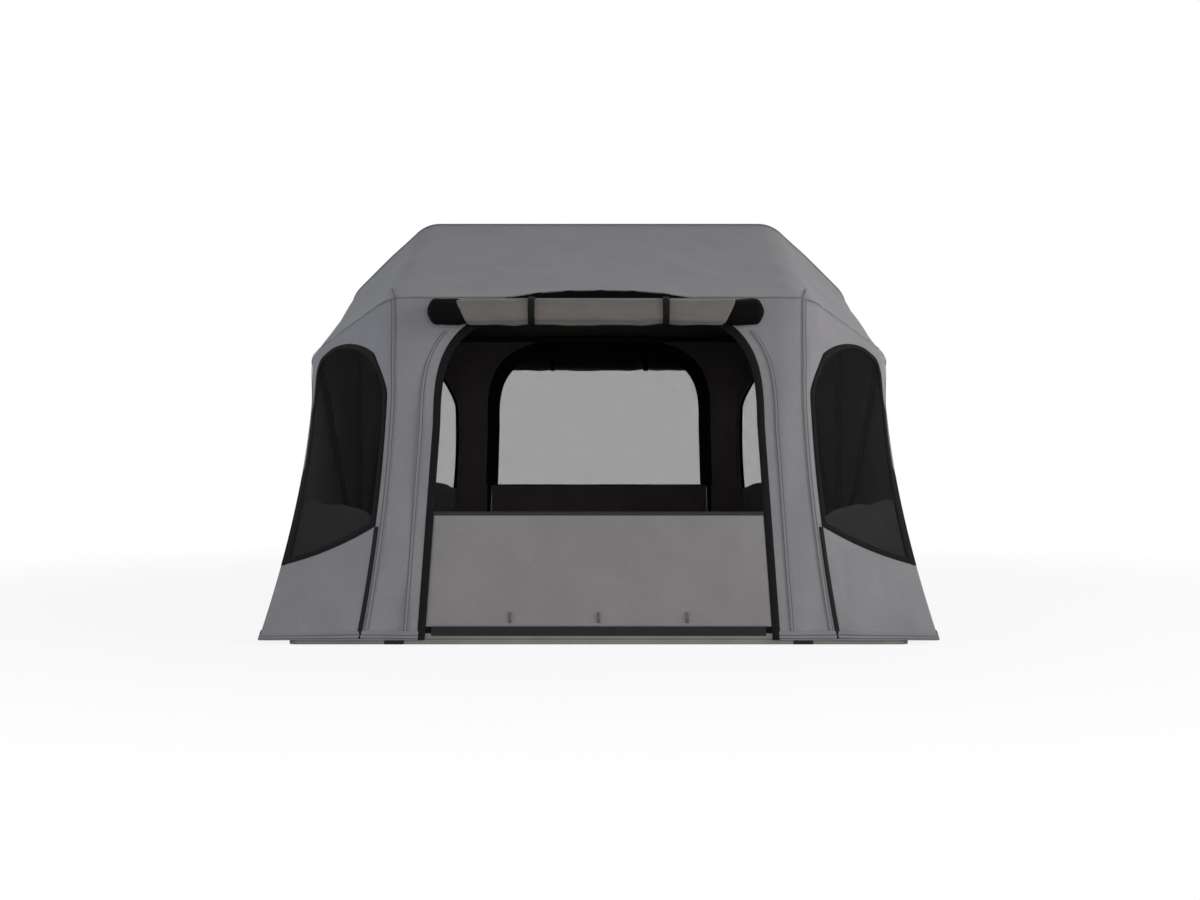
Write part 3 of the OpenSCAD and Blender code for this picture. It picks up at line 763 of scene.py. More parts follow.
class Workshop:
    """Mesh-making steps that every sub-assembly uses."""

    @staticmethod
    def only(*objects: Piece) -> None:
        """Selects these objects and nothing else, the first one active."""
        bpy.ops.object.select_all(action="DESELECT")
        for each in objects:
            each.select_set(True)
        bpy.context.view_layer.objects.active = objects[0]

    @staticmethod
    def lengths(line: np.ndarray) -> np.ndarray:
        """The length of a line of points up to each of them, in metres."""
        return np.concatenate([[0], np.cumsum(np.linalg.norm(np.diff(line, axis=0), axis=1))]) * MM

    @classmethod
    def sheet(cls, name: str, points: np.ndarray, facing: Vector, *finishes: Material) -> Piece:
        """A cloth grid with a UV map in metres.

        Args:
            name: the piece's name.
            points: rows by columns by three, in millimetres.
            facing: a direction on the cloth's outer side at the middle of the grid.
            finishes: the outer material and, where there is one, the lining.

        Returns:
            The new object, smooth shaded.
        """
        rows, cols = points.shape[:2]
        r, c = (rows - 1) // 2, (cols - 1) // 2
        turn = np.cross(points[r, c + 1] - points[r, c], points[r + 1, c] - points[r, c])
        flip = float(turn @ np.array(facing)) < 0
        corner = (np.arange(rows - 1)[:, None] * cols + np.arange(cols - 1)[None, :]).ravel()
        quads = np.stack([corner, corner + 1, corner + cols + 1, corner + cols], axis=1)
        quads = quads[:, ::-1] if flip else quads
        mesh = bpy.data.meshes.new(name)
        mesh.from_pydata((points.reshape(-1, 3) * MM).tolist(), [], quads.tolist())
        along, over = cls.lengths(points[r]), cls.lengths(points[:, c])
        flat = np.stack(np.meshgrid(along, over), axis=-1).reshape(-1, 2)
        layer = mesh.uv_layers.new(name="UVMap")
        layer.data.foreach_set("uv", flat[quads.ravel()].ravel())
        made = bpy.data.objects.new(name, mesh)
        bpy.context.collection.objects.link(made)
        for finish in finishes:
            mesh.materials.append(finish)
        mesh.shade_smooth()
        return made

    @staticmethod
    def area(piece: Piece) -> float:
        """The surface of a piece, in square metres."""
        return sum(face.area for face in piece.data.polygons)

    @classmethod
    def thicken(cls, piece: Piece, thickness: float, lined: bool = False) -> Piece:
        """Gives a sheet its thickness on the inner side, in the second material there if it is lined."""
        cls.only(piece)
        wall = piece.modifiers.new("thickness", "SOLIDIFY")
        wall.thickness = thickness * MM
        wall.offset = -1.0
        wall.material_offset = 1 if lined else 0
        bpy.ops.object.modifier_apply(modifier=wall.name)
        return piece

    @classmethod
    def join(cls, name: str, *pieces: Piece) -> Piece:
        """Joins pieces to one object of that name."""
        cls.only(*pieces)
        if len(pieces) > 1:
            bpy.ops.object.join()
        made = bpy.context.view_layer.objects.active
        made.name = name
        made.data.name = name
        return made

    @classmethod
    def weld(cls, piece: Piece, reach: float, angle: float = 50.0) -> Piece:
        """Merges points closer than reach and smooths edges flatter than the angle in degrees."""
        cls.only(piece)
        bpy.ops.object.mode_set(mode="EDIT")
        bpy.ops.mesh.select_all(action="SELECT")
        bpy.ops.mesh.remove_doubles(threshold=reach * MM)
        bpy.ops.object.mode_set(mode="OBJECT")
        bpy.ops.object.shade_smooth_by_angle(angle=math.radians(angle))
        return piece


@dataclass
class HalfTent:
    """What the sub-assemblies of one half share: its end, its shape and how a cloth piece is hung."""

    shape: TentShape
    palette: Palette
    end: End
    keep: float = 0.068

    def spread(self, at: Curved, a: Values, b: Values, side: int = 1) -> np.ndarray:
        """Grid points of a surface given for the front right.

        Args:
            at: the surface as a function of a and b, in millimetres.
            a: values along the rows.
            b: values down the columns.
            side: 1 for the right side, -1 for the left.

        Returns:
            Rows by columns by three, swollen at the shoulders and moved to this end and side.
        """
        shape = self.shape
        points = np.array([[tuple(at(x, y)) for x in a] for y in b])
        x, z = points[..., 0], points[..., 2]
        zones = ((z, shape.swell_low), (z, shape.swell_high), (np.abs(x), shape.swell_out))
        rise = np.prod([np.clip((place - start) / run, 0, 1) for place, (start, run) in zones], axis=0)
        points[..., 0] += np.sign(x) * shape.swell * rise * rise * (3 - 2 * rise)
        return points * np.array([side, self.end.value, 1.0])

    def patch(
        self, name: str, at: Curved, a: Values, b: Values, *finishes: Material, side: int = 1
    ) -> Piece:
        """A cloth sheet of a surface given for the front right, facing outwards."""
        points = self.spread(at, a, b, side)
        middle = points[(points.shape[0] - 1) // 2, (points.shape[1] - 1) // 2]
        return Workshop.sheet(name, points, self.shape.out(Vector(middle)), *finishes)

    def ribbon(
        self, name: str, at: Curved, edges: tuple[float, float], a: Values, finish: Material,
        height: float, side: int = 1, base: float = 0.3,
    ) -> Piece:
        """A narrow crowned strip between two lines of a surface.

        Args:
            name: the strip's name.
            at: the surface; its first value runs along the strip.
            edges: the surface's second value at the strip's two edges.
            a: values along the strip.
            finish: the strip's material.
            height: how far the strip's middle stands above its edges.
            side: 1 for the right side, -1 for the left.
            base: how far the strip's edges stand off the surface.

        Returns:
            The strip as a sheet.
        """
        first, second = edges

        def section(s: float, j: float) -> Vector:
            """A point of the strip's crowned section."""
            share, rise = CROWN[int(j)]
            p = at(s, first).lerp(at(s, second), share)
            return p + self.shape.out(p) * (base + height * rise)

        return self.patch(name, section, a, range(len(CROWN)), finish, side=side)

    def hang(self, piece: Piece, slot: str, *nodes: str) -> Piece:
        """Lets a finished cloth piece ride on this half, fold flat with it and stand for its nodes."""
        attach(piece, self.end.body)
        if nodes:
            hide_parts(*(f"{self.end.word}_{node}" for node in nodes))
        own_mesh(piece)
        LOG.info("%s: %d faces", piece.name, len(piece.data.polygons))
        return piece


@dataclass
class Canopy(HalfTent):
    """One half of the canopy: roof, end wall, corners and sides as one sewn sheet."""

    thickness: float = 1.4
    brow_half: float = 228.0
    brow_rise: float = 19.0
    rear_rise: float = 5.0
    tuck_z: float = 120.0
    tuck_gap: float = 7.0
    tuck_t: float = 0.8
    brow_depth: float = 34.0
    brow_lean: float = 0.25
    roof_run: float = 995.0
    roof_sag: float = 5.0
    roof_folds: tuple[Fold, ...] = (Fold(4.2, 170, 330, 1.0), Fold(2.2, 70, 190, 2.0, slant=240))
    wall_folds: tuple[Fold, ...] = (Fold(3.6, 60, 300, 11.0), Fold(1.5, 38, 170, 12.0))
    corner_folds: tuple[Fold, ...] = (Fold(3.2, 0.3125, 190, 21.0), Fold(1.8, 0.125, 110, 22.0))
    side_folds: tuple[Fold, ...] = (Fold(3.2, 120, 330, 31.0), Fold(1.6, 48, 160, 32.0))
    wall_full: float = 1.5
    eave_pucker: Pucker = Pucker(2.0, 26.0, 34.0, 4.0)
    seam_pucker: Pucker = Pucker(0.8, 14.0, 27.0, 13.0)
    wall_wave: HemWave = HemWave(3.5, 31.0, 1.2, 170.0, 20.0)
    corner_wave: HemWave = HemWave(5.0, 1 / 7.5, 0.6, 0.5, 0.0)
    side_wave: HemWave = HemWave(4.5, 62.0, 0.0, 0.35, 0.0)

    def roof_pt(self, k: float, f: float) -> Vector:
        """The half roof: k across the bows, f from the end bow to the middle bow."""
        shape = self.shape
        p = shape.end_pt(k).lerp(shape.mid_pt(k), f)
        run, gather = f * self.roof_run, self.eave_pucker
        slack = math.sin(math.pi * min(1.0, f * 1.02)) ** 0.8
        fold = heap(self.roof_folds, p.x, p.y) - self.roof_sag
        pucker = gather.at(p.x) * gather.fade(run) * blend(0.0, 0.004, f)
        rise = self.brow_rise if self.end is End.FRONT else self.rear_rise
        arch = max(0.0, 1 - abs(p.x / self.brow_half) ** 2.4)
        brow = rise * arch * math.exp(-run / self.brow_depth)
        return p + shape.out(p) * (slack * fold + pucker) + Vector((0, -self.brow_lean * brow, brow))

    def brow_pt(self, k: float, t: float) -> Vector:
        """The dark gusset that closes the raised middle of the eave; its black is painted shade for the
        opening above the roll.
        """
        return self.shape.end_pt(k).lerp(self.roof_pt(k, 0.0), t)

    def wall_rim(self, s: float) -> tuple[float, float]:
        """The end wall's outer edge that faces the door's outline, as x and share of height."""
        shape = self.shape
        if s > DOOR_MID:
            x, v = self.wall_rim(DOOR_END - s)
            return -x, v
        if s >= DOOR_RIM:
            return shape.end_pt(BOW_FOLD + s - DOOR_RIM).x, 1.0
        low, (turn, step) = shape.win_base(0), shape.rim_in
        cuts = [low * i / 4 for i in range(4)]
        cuts += [low + (turn - low) * i / WIN_ARCH for i in range(WIN_ARCH)]
        cuts += [turn + step * i for i in range(WIN_IN - WIN_ARCH + 1)]
        i = min(DOOR_RIM - 1, int(s))
        v = cuts[i] + (cuts[i + 1] - cuts[i]) * (s - i)
        return shape.fold_pt(v).x, v

    def wall_width(self, s: float) -> float:
        """The end wall's width from the door's edge to its rim."""
        x, z = self.shape.door_pt(s)
        return (self.shape.wall_pt(*self.wall_rim(s)) - self.shape.on_wall(x, z)).length

    def wall_pt(self, s: float, m: float) -> Vector:
        """The end wall from the door's edge, m = 0, to its rim."""
        shape = self.shape
        x, z = shape.door_pt(s)
        v = shape.wall_v(z)
        far_x, far_v = self.wall_rim(s)
        width = self.wall_width(s)
        p = shape.wall_pt(x + (far_x - x) * m, v + (far_v - v) * m)
        free = math.sin(math.pi * m) * min(1.0, width / 110)
        fold = heap(self.wall_folds, p.x, p.z) + self.wall_full
        gather = self.seam_pucker
        near = gather.fade(m * width) + gather.fade((1 - m) * width)
        pucker = gather.at(p.z + p.x) * near * blend(0, 0.1, m) * blend(0, 0.1, 1 - m)
        foot = self.wall_wave.at(p.x, p.z) * free
        return p + shape.out(p) * (free * fold + pucker + foot)

    def corner_pt(self, u: float, v: float, free: float) -> Vector:
        """The corner panel with its slack; free is 0 on sewn edges and 1 between them."""
        p = self.shape.corner_pt(u, v)
        return p + self.shape.out(p) * free * heap(self.corner_folds, u, p.z)

    def corner_upper(self, s: float, m: float) -> Vector:
        """The part of the corner around the window."""
        (a, b), (c, d) = self.shape.win_edge(s), self.shape.win_rim(s)
        return self.corner_pt(a + (c - a) * m, b + (d - b) * m, 0.7 * math.sin(math.pi * m))

    def corner_lower(self, u: float, t: float) -> Vector:
        """The part of the corner below the window."""
        inside = min(1.0, 6 * u, 6 * (1 - u))
        free = math.sin(math.pi * min(1.0, t)) ** 0.7 * inside
        hang = self.corner_wave.at(u, t) * inside
        p = self.corner_pt(u, self.shape.win_base(u) * t, free)
        return p + self.shape.out(p) * hang

    def side_pt(self, t: float, b: float) -> Vector:
        """The side wall: t from the ridge over the bow leg to the middle, b from hem to bow."""
        shape, leg = self.shape, self.shape.leg_pt(b)
        p = shape.ridge_pt(b).lerp(leg, t * 3) if t < 1 / 3 else leg.lerp(shape.side_pt(b), t * 1.5 - 0.5)
        inside = min(1.0, 8 * t)
        free = inside * math.sin(math.pi * b) ** 0.6
        hem = self.side_wave.at(p.y, b) * inside
        fold = heap(self.side_folds, p.y, p.z)
        return p + shape.out(p) * (free * fold + hem * blend(0.0, 0.25, 1 - t))

    def tuck_pt(self, s: float, t: float) -> Vector:
        """The inner skirt from the base's rim up to the cloth.

        Args:
            s: 0 at the middle of the side, 1 at the ridge, 2 at the fold line, 3 at the door.
            t: from 0 at the rim to 1 at the cloth.

        Returns:
            A point of the skirt.
        """
        shape, rise = self.shape, self.tuck_z - self.shape.hem_z
        rim_x, rim_y, rim_z = shape.half_w - 1, shape.half_l - 1, shape.rail_h - 5
        v = rise / (shape.end_pt(0).z - shape.hem_z)
        if s <= 1:
            low = Vector((rim_x, -1 - (rim_y - 1) * s, rim_z))
            high = self.side_pt(1 - s, rise / (shape.mid_pt(0).z - shape.hem_z))
        elif s <= 2:
            low = Vector((rim_x + (shape.fold_x - rim_x) * (s - 1), -rim_y, rim_z))
            high = shape.corner_pt(2 - s, v)
        else:
            x = shape.fold_x + (shape.door_w - shape.fold_x) * (s - 2)
            low, high = Vector((x, -rim_y, rim_z)), shape.wall_pt(x, v)
        return low.lerp(high - shape.out(high) * self.tuck_gap, t)

    def tuck(self) -> Piece:
        """Makes the inner skirts that close the gap between the cloth and the base."""
        grid = (even(121, 0, 3), even(9))
        lining = self.palette.lining
        strips = [self.patch("skirt", self.tuck_pt, *grid, lining, side=side) for side in SIDES]
        made = Workshop.join(f"{self.end.word}_inner_skirts", *strips)
        area = Workshop.area(made)
        self.hang(Workshop.thicken(made, self.tuck_t), "canopy_cloth")
        area / 0.11
        return made

    def build(self) -> Piece:
        """Cuts the panels, sews them together and hangs the sheet."""
        cloth = (self.palette.canopy, self.palette.lining)
        word = self.end.word
        eave = [0.0, 0.003, 0.007, 0.012, 0.018, 0.026, 0.036, 0.05, 0.07]
        slope = eave + list(even(46, 0.1))
        panels = [
            self.patch(f"{word}_roof_panel", self.roof_pt, even(209, 0, BOW_END), slope, *cloth),
            self.patch(f"{word}_wall_panel", self.wall_pt, even(381, 0, DOOR_END), even(25), *cloth),
        ]
        cuts = {
            "corner": (self.corner_upper, even(281, 0, WIN_END), even(13)),
            "corner_low": (self.corner_lower, even(61), even(41)),
            "side": (self.side_pt, even(91), even(71)),
        }
        for side, hand in SIDES.items():
            for name, cut in cuts.items():
                panels.append(self.patch(f"{word}_{name}_{hand}", *cut, *cloth, side=side))
        brow = (even(61, BOW_EAVE, BOW_END - BOW_EAVE), even(5))
        # The brow gusset is a black sheet in the rolled mesh's finish on both sides: painted shade where
        # the opening under the raised eave lies dark.
        panels.append(self.patch(f"{word}_brow", self.brow_pt, *brow, self.palette.net, self.palette.net))
        sheet = Workshop.weld(Workshop.join(f"{word}_canopy", *panels), 0.25)
        area = Workshop.area(sheet)
        Workshop.thicken(sheet, self.thickness, lined=True)
        self.hang(sheet, "canopy_cloth", "roof", "wall", "corner_panels", "lower_corners", "sides")
        area / 2.6
        self.tuck()
        return sheet


@dataclass
class Seams(HalfTent):
    """Felled seams, hems and corner zips sewn on one canopy half."""

    canopy: Canopy | None = None
    width: float = 12.0
    hem: float = 20.0
    height: float = 1.0
    base: float = 1.5
    zip_height: float = 1.4
    zip_base: float = 1.6
    corner_run: float = 250.0
    side_run: float = 600.0
    ridge_run: float = 425.0
    foot_step: float = 63.0
    hip_slant: float = 9.5

    def strip(self, name: str, at: Curved, edges: tuple[float, float], a: Values, side: int = 1) -> Piece:
        """One felled seam between two lines of a surface."""
        return self.ribbon(name, at, edges, a, self.palette.seam, self.height, side, self.base)

    def beside(self, s: float, d: float) -> Vector:
        """A point of the wall at a distance from the fold line, or from the door where it is negative."""
        width = self.canopy.wall_width(s)
        return self.canopy.wall_pt(s, 1 - d / width if d > 0 else -d / width)

    def hip_pt(self, f: float, k: float) -> Vector:
        """A point of the roof on a line that slants outwards from the eave at station k."""
        return self.canopy.roof_pt(k - self.hip_slant * f, f)

    def lap_pt(self, b: float, y: float) -> Vector:
        """The lap that covers the join of the two halves on the side."""
        p = self.canopy.side_pt(1.0, b)
        return Vector((p.x, y, p.z))

    def corner_seams(self, side: int) -> list[Piece]:
        """Seams and hems of one side."""
        canopy, hem = self.canopy, self.hem
        ridge = (0.004, 0.004 + self.width / self.ridge_run)
        lines = {
            "fold": (self.beside, (1.5 + self.width, 1.5), even(141, 0.35, DOOR_RIM)),
            "ridge": (lambda b, t: canopy.side_pt(t, b), ridge, even(101)),
            "corner_hem": (lambda u, z: canopy.corner_lower(u, z / self.corner_run), (1, hem), even(61)),
            "side_hem": (lambda t, z: canopy.side_pt(t, z / self.side_run), (2, hem), even(91)),
            "arch": (self.beside, (-24, -36), even(121, 0.35, 12.6)),
            "hip": (self.hip_pt, (8.75, 8.35), even(41, 0.012, 0.17)),
            "wall_hem": (lambda m, s: canopy.wall_pt(s, m), (0.02, hem / self.foot_step), even(31)),
        }
        if self.end is End.FRONT:
            lines["lap"] = (self.lap_pt, (-9, 7), even(101, 0.002))
        return [self.strip(name, *line, side) for name, line in lines.items()]

    def build(self) -> Piece:
        """Sews all seams of this half as one piece, and the corner zips as another."""
        canopy, across = self.canopy, even(209, 0, BOW_END)
        strips = [
            self.strip("eave", canopy.roof_pt, (0.001, 0.001 + self.width / canopy.roof_run), across),
            self.strip("crown", canopy.roof_pt, (0.983, 1.0), across),
        ]
        for side in SIDES:
            strips += self.corner_seams(side)
        made = Workshop.join(f"{self.end.word}_canopy_seams", *strips)
        self.hang(made, "canopy_cloth")
        self.zips()
        return made

    def zips(self) -> Piece:
        """The zips that close the lower corners along the fold line."""
        shape, coil = self.shape, self.palette.zip
        upright = even(61, 0.004, shape.win_base(0) - 0.008)

        def at(v: float, u: float) -> Vector:
            """A point of the corner, v up and u across."""
            return shape.corner_pt(u, v)

        pieces = [
            self.ribbon("zip", at, (0.004, 0.05), upright, coil, self.zip_height, side, self.zip_base)
            for side in SIDES
        ]
        joined = Workshop.join(f"{self.end.word}_corner_zip_tapes", *pieces)
        return self.hang(joined, "black_webbing", "corner_zips")


@dataclass
class Windows(HalfTent):
    """The two corner windows of one half: mesh, bound edges and stowed covers."""

    slack: float = 4.0
    arch: int = WIN_FALL - WIN_ARCH
    turned: tuple[float, float] = (0.1, 0.04)
    brink: float = 0.955
    brink_h: float = 0.37
    sill_h: float = 0.02
    inset: float = 0.8
    cover_in: float = 0.07
    cover_w: float = 0.86
    cover_low: float = 0.06
    cover_top: tuple[float, float] = (0.335, 0.15)
    cover_deep: tuple[float, float, float] = (4.0, 10.0, 7.0)
    cover_t: float = 1.2
    cover_folds: tuple[Fold, ...] = (Fold(6, 0.25, 1 / 3, 52.0), Fold(2.5, 1 / 11, 1 / 7, 53.0))

    def mesh_pt(self, i: float, t: float) -> Vector:
        """The window's mesh: i across its arch, t from its lower edge up."""
        u, top = self.shape.win_edge(WIN_ARCH + i)
        base = self.shape.win_base(u)
        p = self.shape.corner_pt(u, base + (top - base) * t)
        uneven = 1 + 0.4 * wander(i / 4, t * 3, 41.0)
        dip = self.slack * math.sin(math.pi * t) * math.sin(math.pi * i / self.arch) * uneven
        return p - self.shape.out(p) * (self.inset + dip)

    def edge_pt(self, s: float, share: float) -> Vector:
        """The bound edge, from the opening's outline towards its middle."""
        shape = self.shape
        u, v = shape.win_edge(s)
        mid_u = (shape.win_in + shape.win_out) / 2
        mid_v = (shape.win_low + shape.win_crest[1]) / 2
        turn_u, turn_v = self.turned
        return shape.corner_pt(u + (mid_u - u) * turn_u * share, v + (mid_v - v) * turn_v * share)

    def brink_pt(self, t: float, share: float) -> Vector:
        """The binding's turn over the ridge, where the window runs out to it."""
        v = self.shape.win_base(1) + self.brink_h * t
        over = (1 - self.brink) * share * min(1.0, 8 * (1 - t))
        return self.shape.corner_pt(self.brink + over, v)

    def sill_pt(self, i: float, share: float) -> Vector:
        """The bound lower edge."""
        u, _ = self.shape.win_edge(WIN_ARCH + i)
        return self.shape.corner_pt(u, self.shape.win_base(u) + self.sill_h * share)

    def cover_pt(self, a: float, t: float) -> Vector:
        """The stowed cover: a across, t from its sewn foot to its folded top."""
        shape = self.shape
        u = self.cover_in + self.cover_w * a
        low = shape.win_base(u) - self.cover_low
        high = self.cover_top[0] + self.cover_top[1] * u**0.8 + 0.012 * wander(a * 5, 0.0, 51.0)
        p = shape.corner_pt(u, low + (high - low) * t)
        lump = heap(self.cover_folds, a, t)
        ends = min(1.0, 7 * a, 7 * (1 - a))
        least, belly, roll = self.cover_deep
        depth = least + ends * (belly * math.sin(math.pi * t * 0.9) + t * (roll + lump))
        return p - shape.out(p) * depth

    def build(self) -> None:
        """Makes the meshes, the bindings and the covers of both sides."""
        word, colours = self.end.word, self.palette
        arch = even(65, 0, self.arch)
        bindings = {
            "edge": (self.edge_pt, (-0.2, 1), even(225, 0, WIN_END), colours.tape, 2.0),
            "sill": (self.sill_pt, (0, 1), arch, colours.tape, 1.8),
            "brink": (self.brink_pt, (0, 1), even(61), colours.tape, 1.6),
        }
        meshes, edges, covers = [], [], []
        for side in SIDES:
            meshes.append(self.patch("mesh", self.mesh_pt, arch, even(41), colours.mesh, side=side))
            edges += [self.ribbon(name, *binding, side) for name, binding in bindings.items()]
            covers.append(self.patch("cover", self.cover_pt, even(61), even(31), colours.cover, side=side))
        mesh = Workshop.join(f"{word}_window_nets", *meshes)
        area = Workshop.area(mesh)
        self.hang(mesh, "mesh", "window_mesh")
        2 * area
        self.hang(Workshop.join(f"{word}_window_edges", *edges), "black_webbing", "window_bindings")
        cover = Workshop.join(f"{word}_stowed_covers", *covers)
        cut = Workshop.area(cover)
        Workshop.thicken(cover, self.cover_t)
        self.hang(cover, "door_cloth", "window_covers")
        cut / 0.2


@dataclass
class Door(HalfTent):
    """One end door: bound arch, rolled flap with its straps, lower panel and loops."""

    edge: float = 15.0
    sill_z: float = 41.0
    panel_h: float = 259.0
    roll_r: float = 33.0
    net_r: float = 28.0
    flap_half: float = 316.0
    net_half: float = 400.0
    aside: float = -7.0
    strap_x: float = 160.0
    strap_w: float = 16.0
    loop_pitch: float = 204.0
    loop_w: float = 7.0
    loop_foot: float = 8.0
    loop_h: float = 24.0
    loop_out: float = 3.4
    roll_drop: float = 17.0
    rear_drop: float = 45.0
    roll_gap: float = 5.0
    roll_sag: float = 2.5
    roll_span: float = 230.0
    pinch: float = 2.4
    pinch_w: float = 30.0
    belly: float = 4.0
    flap_turn: float = 0.62
    flap_skew: float = 16.0
    net_close: float = 22.0
    net_swell: float = 4.5
    neck_in: float = 14.0
    neck_bulge: float = 2.5
    strap_gap: float = 1.2
    panel_t: float = 1.4
    flap_t: float = 1.6
    neck_t: float = 0.8
    tape_t: float = 1.0
    strap_drop: float = 0.2
    net_foot: float = 4.7
    panel_folds: tuple[Fold, ...] = (Fold(4.5, 190, 1 / 1.6, 61.0), Fold(2.4, 80, 1 / 1.8, 62.0, slant=1))

    @property
    def roll_z(self) -> float:
        """Height of the roll's line on the wall."""
        drop = self.roll_drop + (0 if self.end is End.FRONT else self.rear_drop)
        return self.shape.eave_z - self.roll_r - drop

    @property
    def away(self) -> Vector:
        """The direction from the roll's wall outwards."""
        return Vector((0, -math.cos(self.shape.lean), math.sin(self.shape.lean)))

    def roll_axis(self) -> Vector:
        """The roll's middle."""
        return self.shape.on_wall(0, self.roll_z) + self.away * (self.roll_r + self.roll_gap)

    def rim_pt(self, s: float, inset: float) -> Vector:
        """The door's edge at a distance inside its outline."""
        return self.shape.on_wall(*self.shape.door_pt(s, inset))

    def panel_pt(self, x: float, t: float) -> Vector:
        """The lower panel: x across, t from the sill up."""
        shape, z = self.shape, self.sill_z + self.panel_h * t
        w = shape.door_w - self.edge
        narrow = shape.door_taper / w * (z - shape.hem_z) / (shape.door_spring - shape.hem_z)
        p = shape.on_wall(x * (1 - narrow), z)
        free = min(1.0, 7 * (1 - abs(x) / w)) * min(1.0, 5 * t)
        fold = heap(self.panel_folds, x, t)
        belly = self.belly * math.sin(math.pi * min(1.0, t * 0.9))
        return p + shape.out(p) * (free * (fold + belly) - 0.4)

    def strap_pinch(self, x: float) -> float:
        """How far the straps press the roll in at x."""
        return sum(math.exp(-(((x + self.aside - s * self.strap_x) / self.pinch_w) ** 2)) for s in SIDES)

    def roll_pt(self, x: float, turn: float, radius: float, seed: float) -> Vector:
        """The roll's skin: x along it, turn from 0 to 1 around it."""
        a = 2 * math.pi * turn
        lump = 3.2 * wander(x / 110, 2.2 * math.cos(a), seed)
        lump += 2.2 * wander(x / 44, 2 * math.sin(a), seed + 1)
        r = radius - self.pinch * self.strap_pinch(x) + lump
        sag = -self.roll_sag * math.sin(math.pi * min(1.0, abs(abs(x) - self.strap_x) / self.roll_span))
        return self.roll_axis() + Vector((x + self.aside, r * math.cos(a), r * 0.97 * math.sin(a) + sag))

    def flap_pt(self, t: float, turn: float) -> Vector:
        """The rolled flap, whose ends run slantwise around the roll."""
        end = self.flap_half + self.flap_skew * math.sin(2 * math.pi * (turn + self.flap_turn) - 0.3)
        x = (2 * t - 1) * end
        step = 1.6 * blend(0.93, 1.0, turn)
        return self.roll_pt(x, turn + self.flap_turn, self.roll_r - 1.0 + step, 71.0)

    def net_pt(self, t: float, turn: float) -> Vector:
        """The rolled mesh inside the flap, drawn in at its ends."""
        x = (2 * t - 1) * self.net_half
        close = math.sqrt(max(0.0, 1 - blend(self.net_half - self.net_close, self.net_half, abs(x)) ** 2))
        full = self.net_r + self.net_swell * blend(self.flap_half - 12, self.flap_half + 18, abs(x))
        creased = full * (0.2 + 0.8 * close) + 1.6 * wander(x / 17, 2.4 * turn, 75.0)
        return self.roll_pt(x, turn, creased, 73.0)

    def neck_pt(self, t: float, fall: float) -> Vector:
        """The flap between the arch and the roll."""
        x = (2 * t - 1) * (self.flap_half - self.neck_in)
        shape, away = self.shape, self.away
        reach = shape.eave_z - shape.door_drop - shape.door_spring
        share = abs(x) / (shape.door_w - shape.door_taper)
        rise = max(0.0, 1 - share ** (2 / shape.door_round)) ** (shape.door_round / 2)
        high = shape.on_wall(x, shape.door_spring + reach * rise - 1) + away * 1.2
        low = self.roll_axis() + Vector((x + self.aside, 0, 0)) - away * (self.roll_r - 3)
        low.z = min(low.z, high.z - 1)
        bulge = self.neck_bulge * math.sin(math.pi * fall) * (1 + wander(x / 60, fall * 2, 77.0))
        return high.lerp(low, fall) + away * bulge

    def strap_pt(self, s: float, a: float, j: float) -> Vector:
        """One roll strap: s its side, a along it from the eave down and around the roll, j across it."""
        x = s * self.strap_x + (j - 0.5) * self.strap_w
        axis, back, drop = self.roll_axis(), -self.away, self.strap_drop
        up = Vector((0, math.sin(self.shape.lean), math.cos(self.shape.lean)))
        r = self.roll_r + self.strap_gap + 0.5 * math.sin(9 * a)
        if a < drop:
            high = self.shape.on_wall(0, self.shape.eave_z - 3) - back * 1.6
            p = high.lerp(axis + back * r, a / drop)
        else:
            turn = 2 * math.pi * (a - drop) / (1 - drop)
            p = axis + back * r * math.cos(turn) - up * r * math.sin(turn)
        return Vector((x, p.y, p.z))

    def loop_pt(self, x: float, a: float, j: float) -> Vector:
        """One small upright loop near the panel's foot: a up along it, j across it."""
        p = self.panel_pt(x + (j - 0.5) * self.loop_w, (self.loop_foot + self.loop_h * a) / self.panel_h)
        return p + self.shape.out(p) * (self.tape_t + self.loop_out * math.sin(math.pi * a) ** 0.6)

    def tapes(
        self, at: Callable[[float, float, float], Vector], places: Values,
        across: int, along: int, finish: Material,
    ) -> list[Piece]:
        """Flat tapes of one kind, facing the end.

        Args:
            at: the tape at a place; its other values run along the tape and across it.
            places: where the tapes are.
            across: points across a tape.
            along: points along a tape.
            finish: the tapes' material.

        Returns:
            One sheet for each place.
        """
        ahead = Vector((0, -self.end.value, 0))
        grids = [self.spread(lambda j, a: at(place, a, j), even(across), even(along)) for place in places]
        return [Workshop.sheet("tape", grid, ahead, finish) for grid in grids]

    def build(self) -> None:
        """Makes every cloth piece of the door."""
        word, colours = self.end.word, self.palette
        half = self.shape.door_w - self.edge
        outline, wide = even(381, 0, DOOR_END), even(121, -half, half)
        edge = self.ribbon(
            f"{word}_door_edge", self.rim_pt, (-3.0, self.edge), outline, colours.tape, 1.8, base=0.2
        )
        self.hang(edge, "black_webbing", "door_binding")
        cloth = (colours.flap, colours.lining)
        panel = self.patch(f"{word}_lower_panel", self.panel_pt, wide, even(61), *cloth)
        area = Workshop.area(panel)
        Workshop.thicken(panel, self.panel_t, lined=True)
        self.hang(panel, "door_cloth", "door_panel")
        cut = (area / self.panel_h / MM, self.panel_h * MM)
        hem = self.ribbon(f"{word}_panel_hem", self.panel_pt, (0.965, 1.0), wide, colours.hem, 1.2)
        self.hang(hem, "black_webbing")
        places = [i * self.loop_pitch for i in (-1, 0, 1)]
        loops = self.tapes(self.loop_pt, places, 3, 13, colours.loop)
        joined = Workshop.join(f"{word}_panel_loops", *loops)
        self.hang(Workshop.thicken(joined, self.tape_t), "black_webbing", "door_loops")
        self.roll()

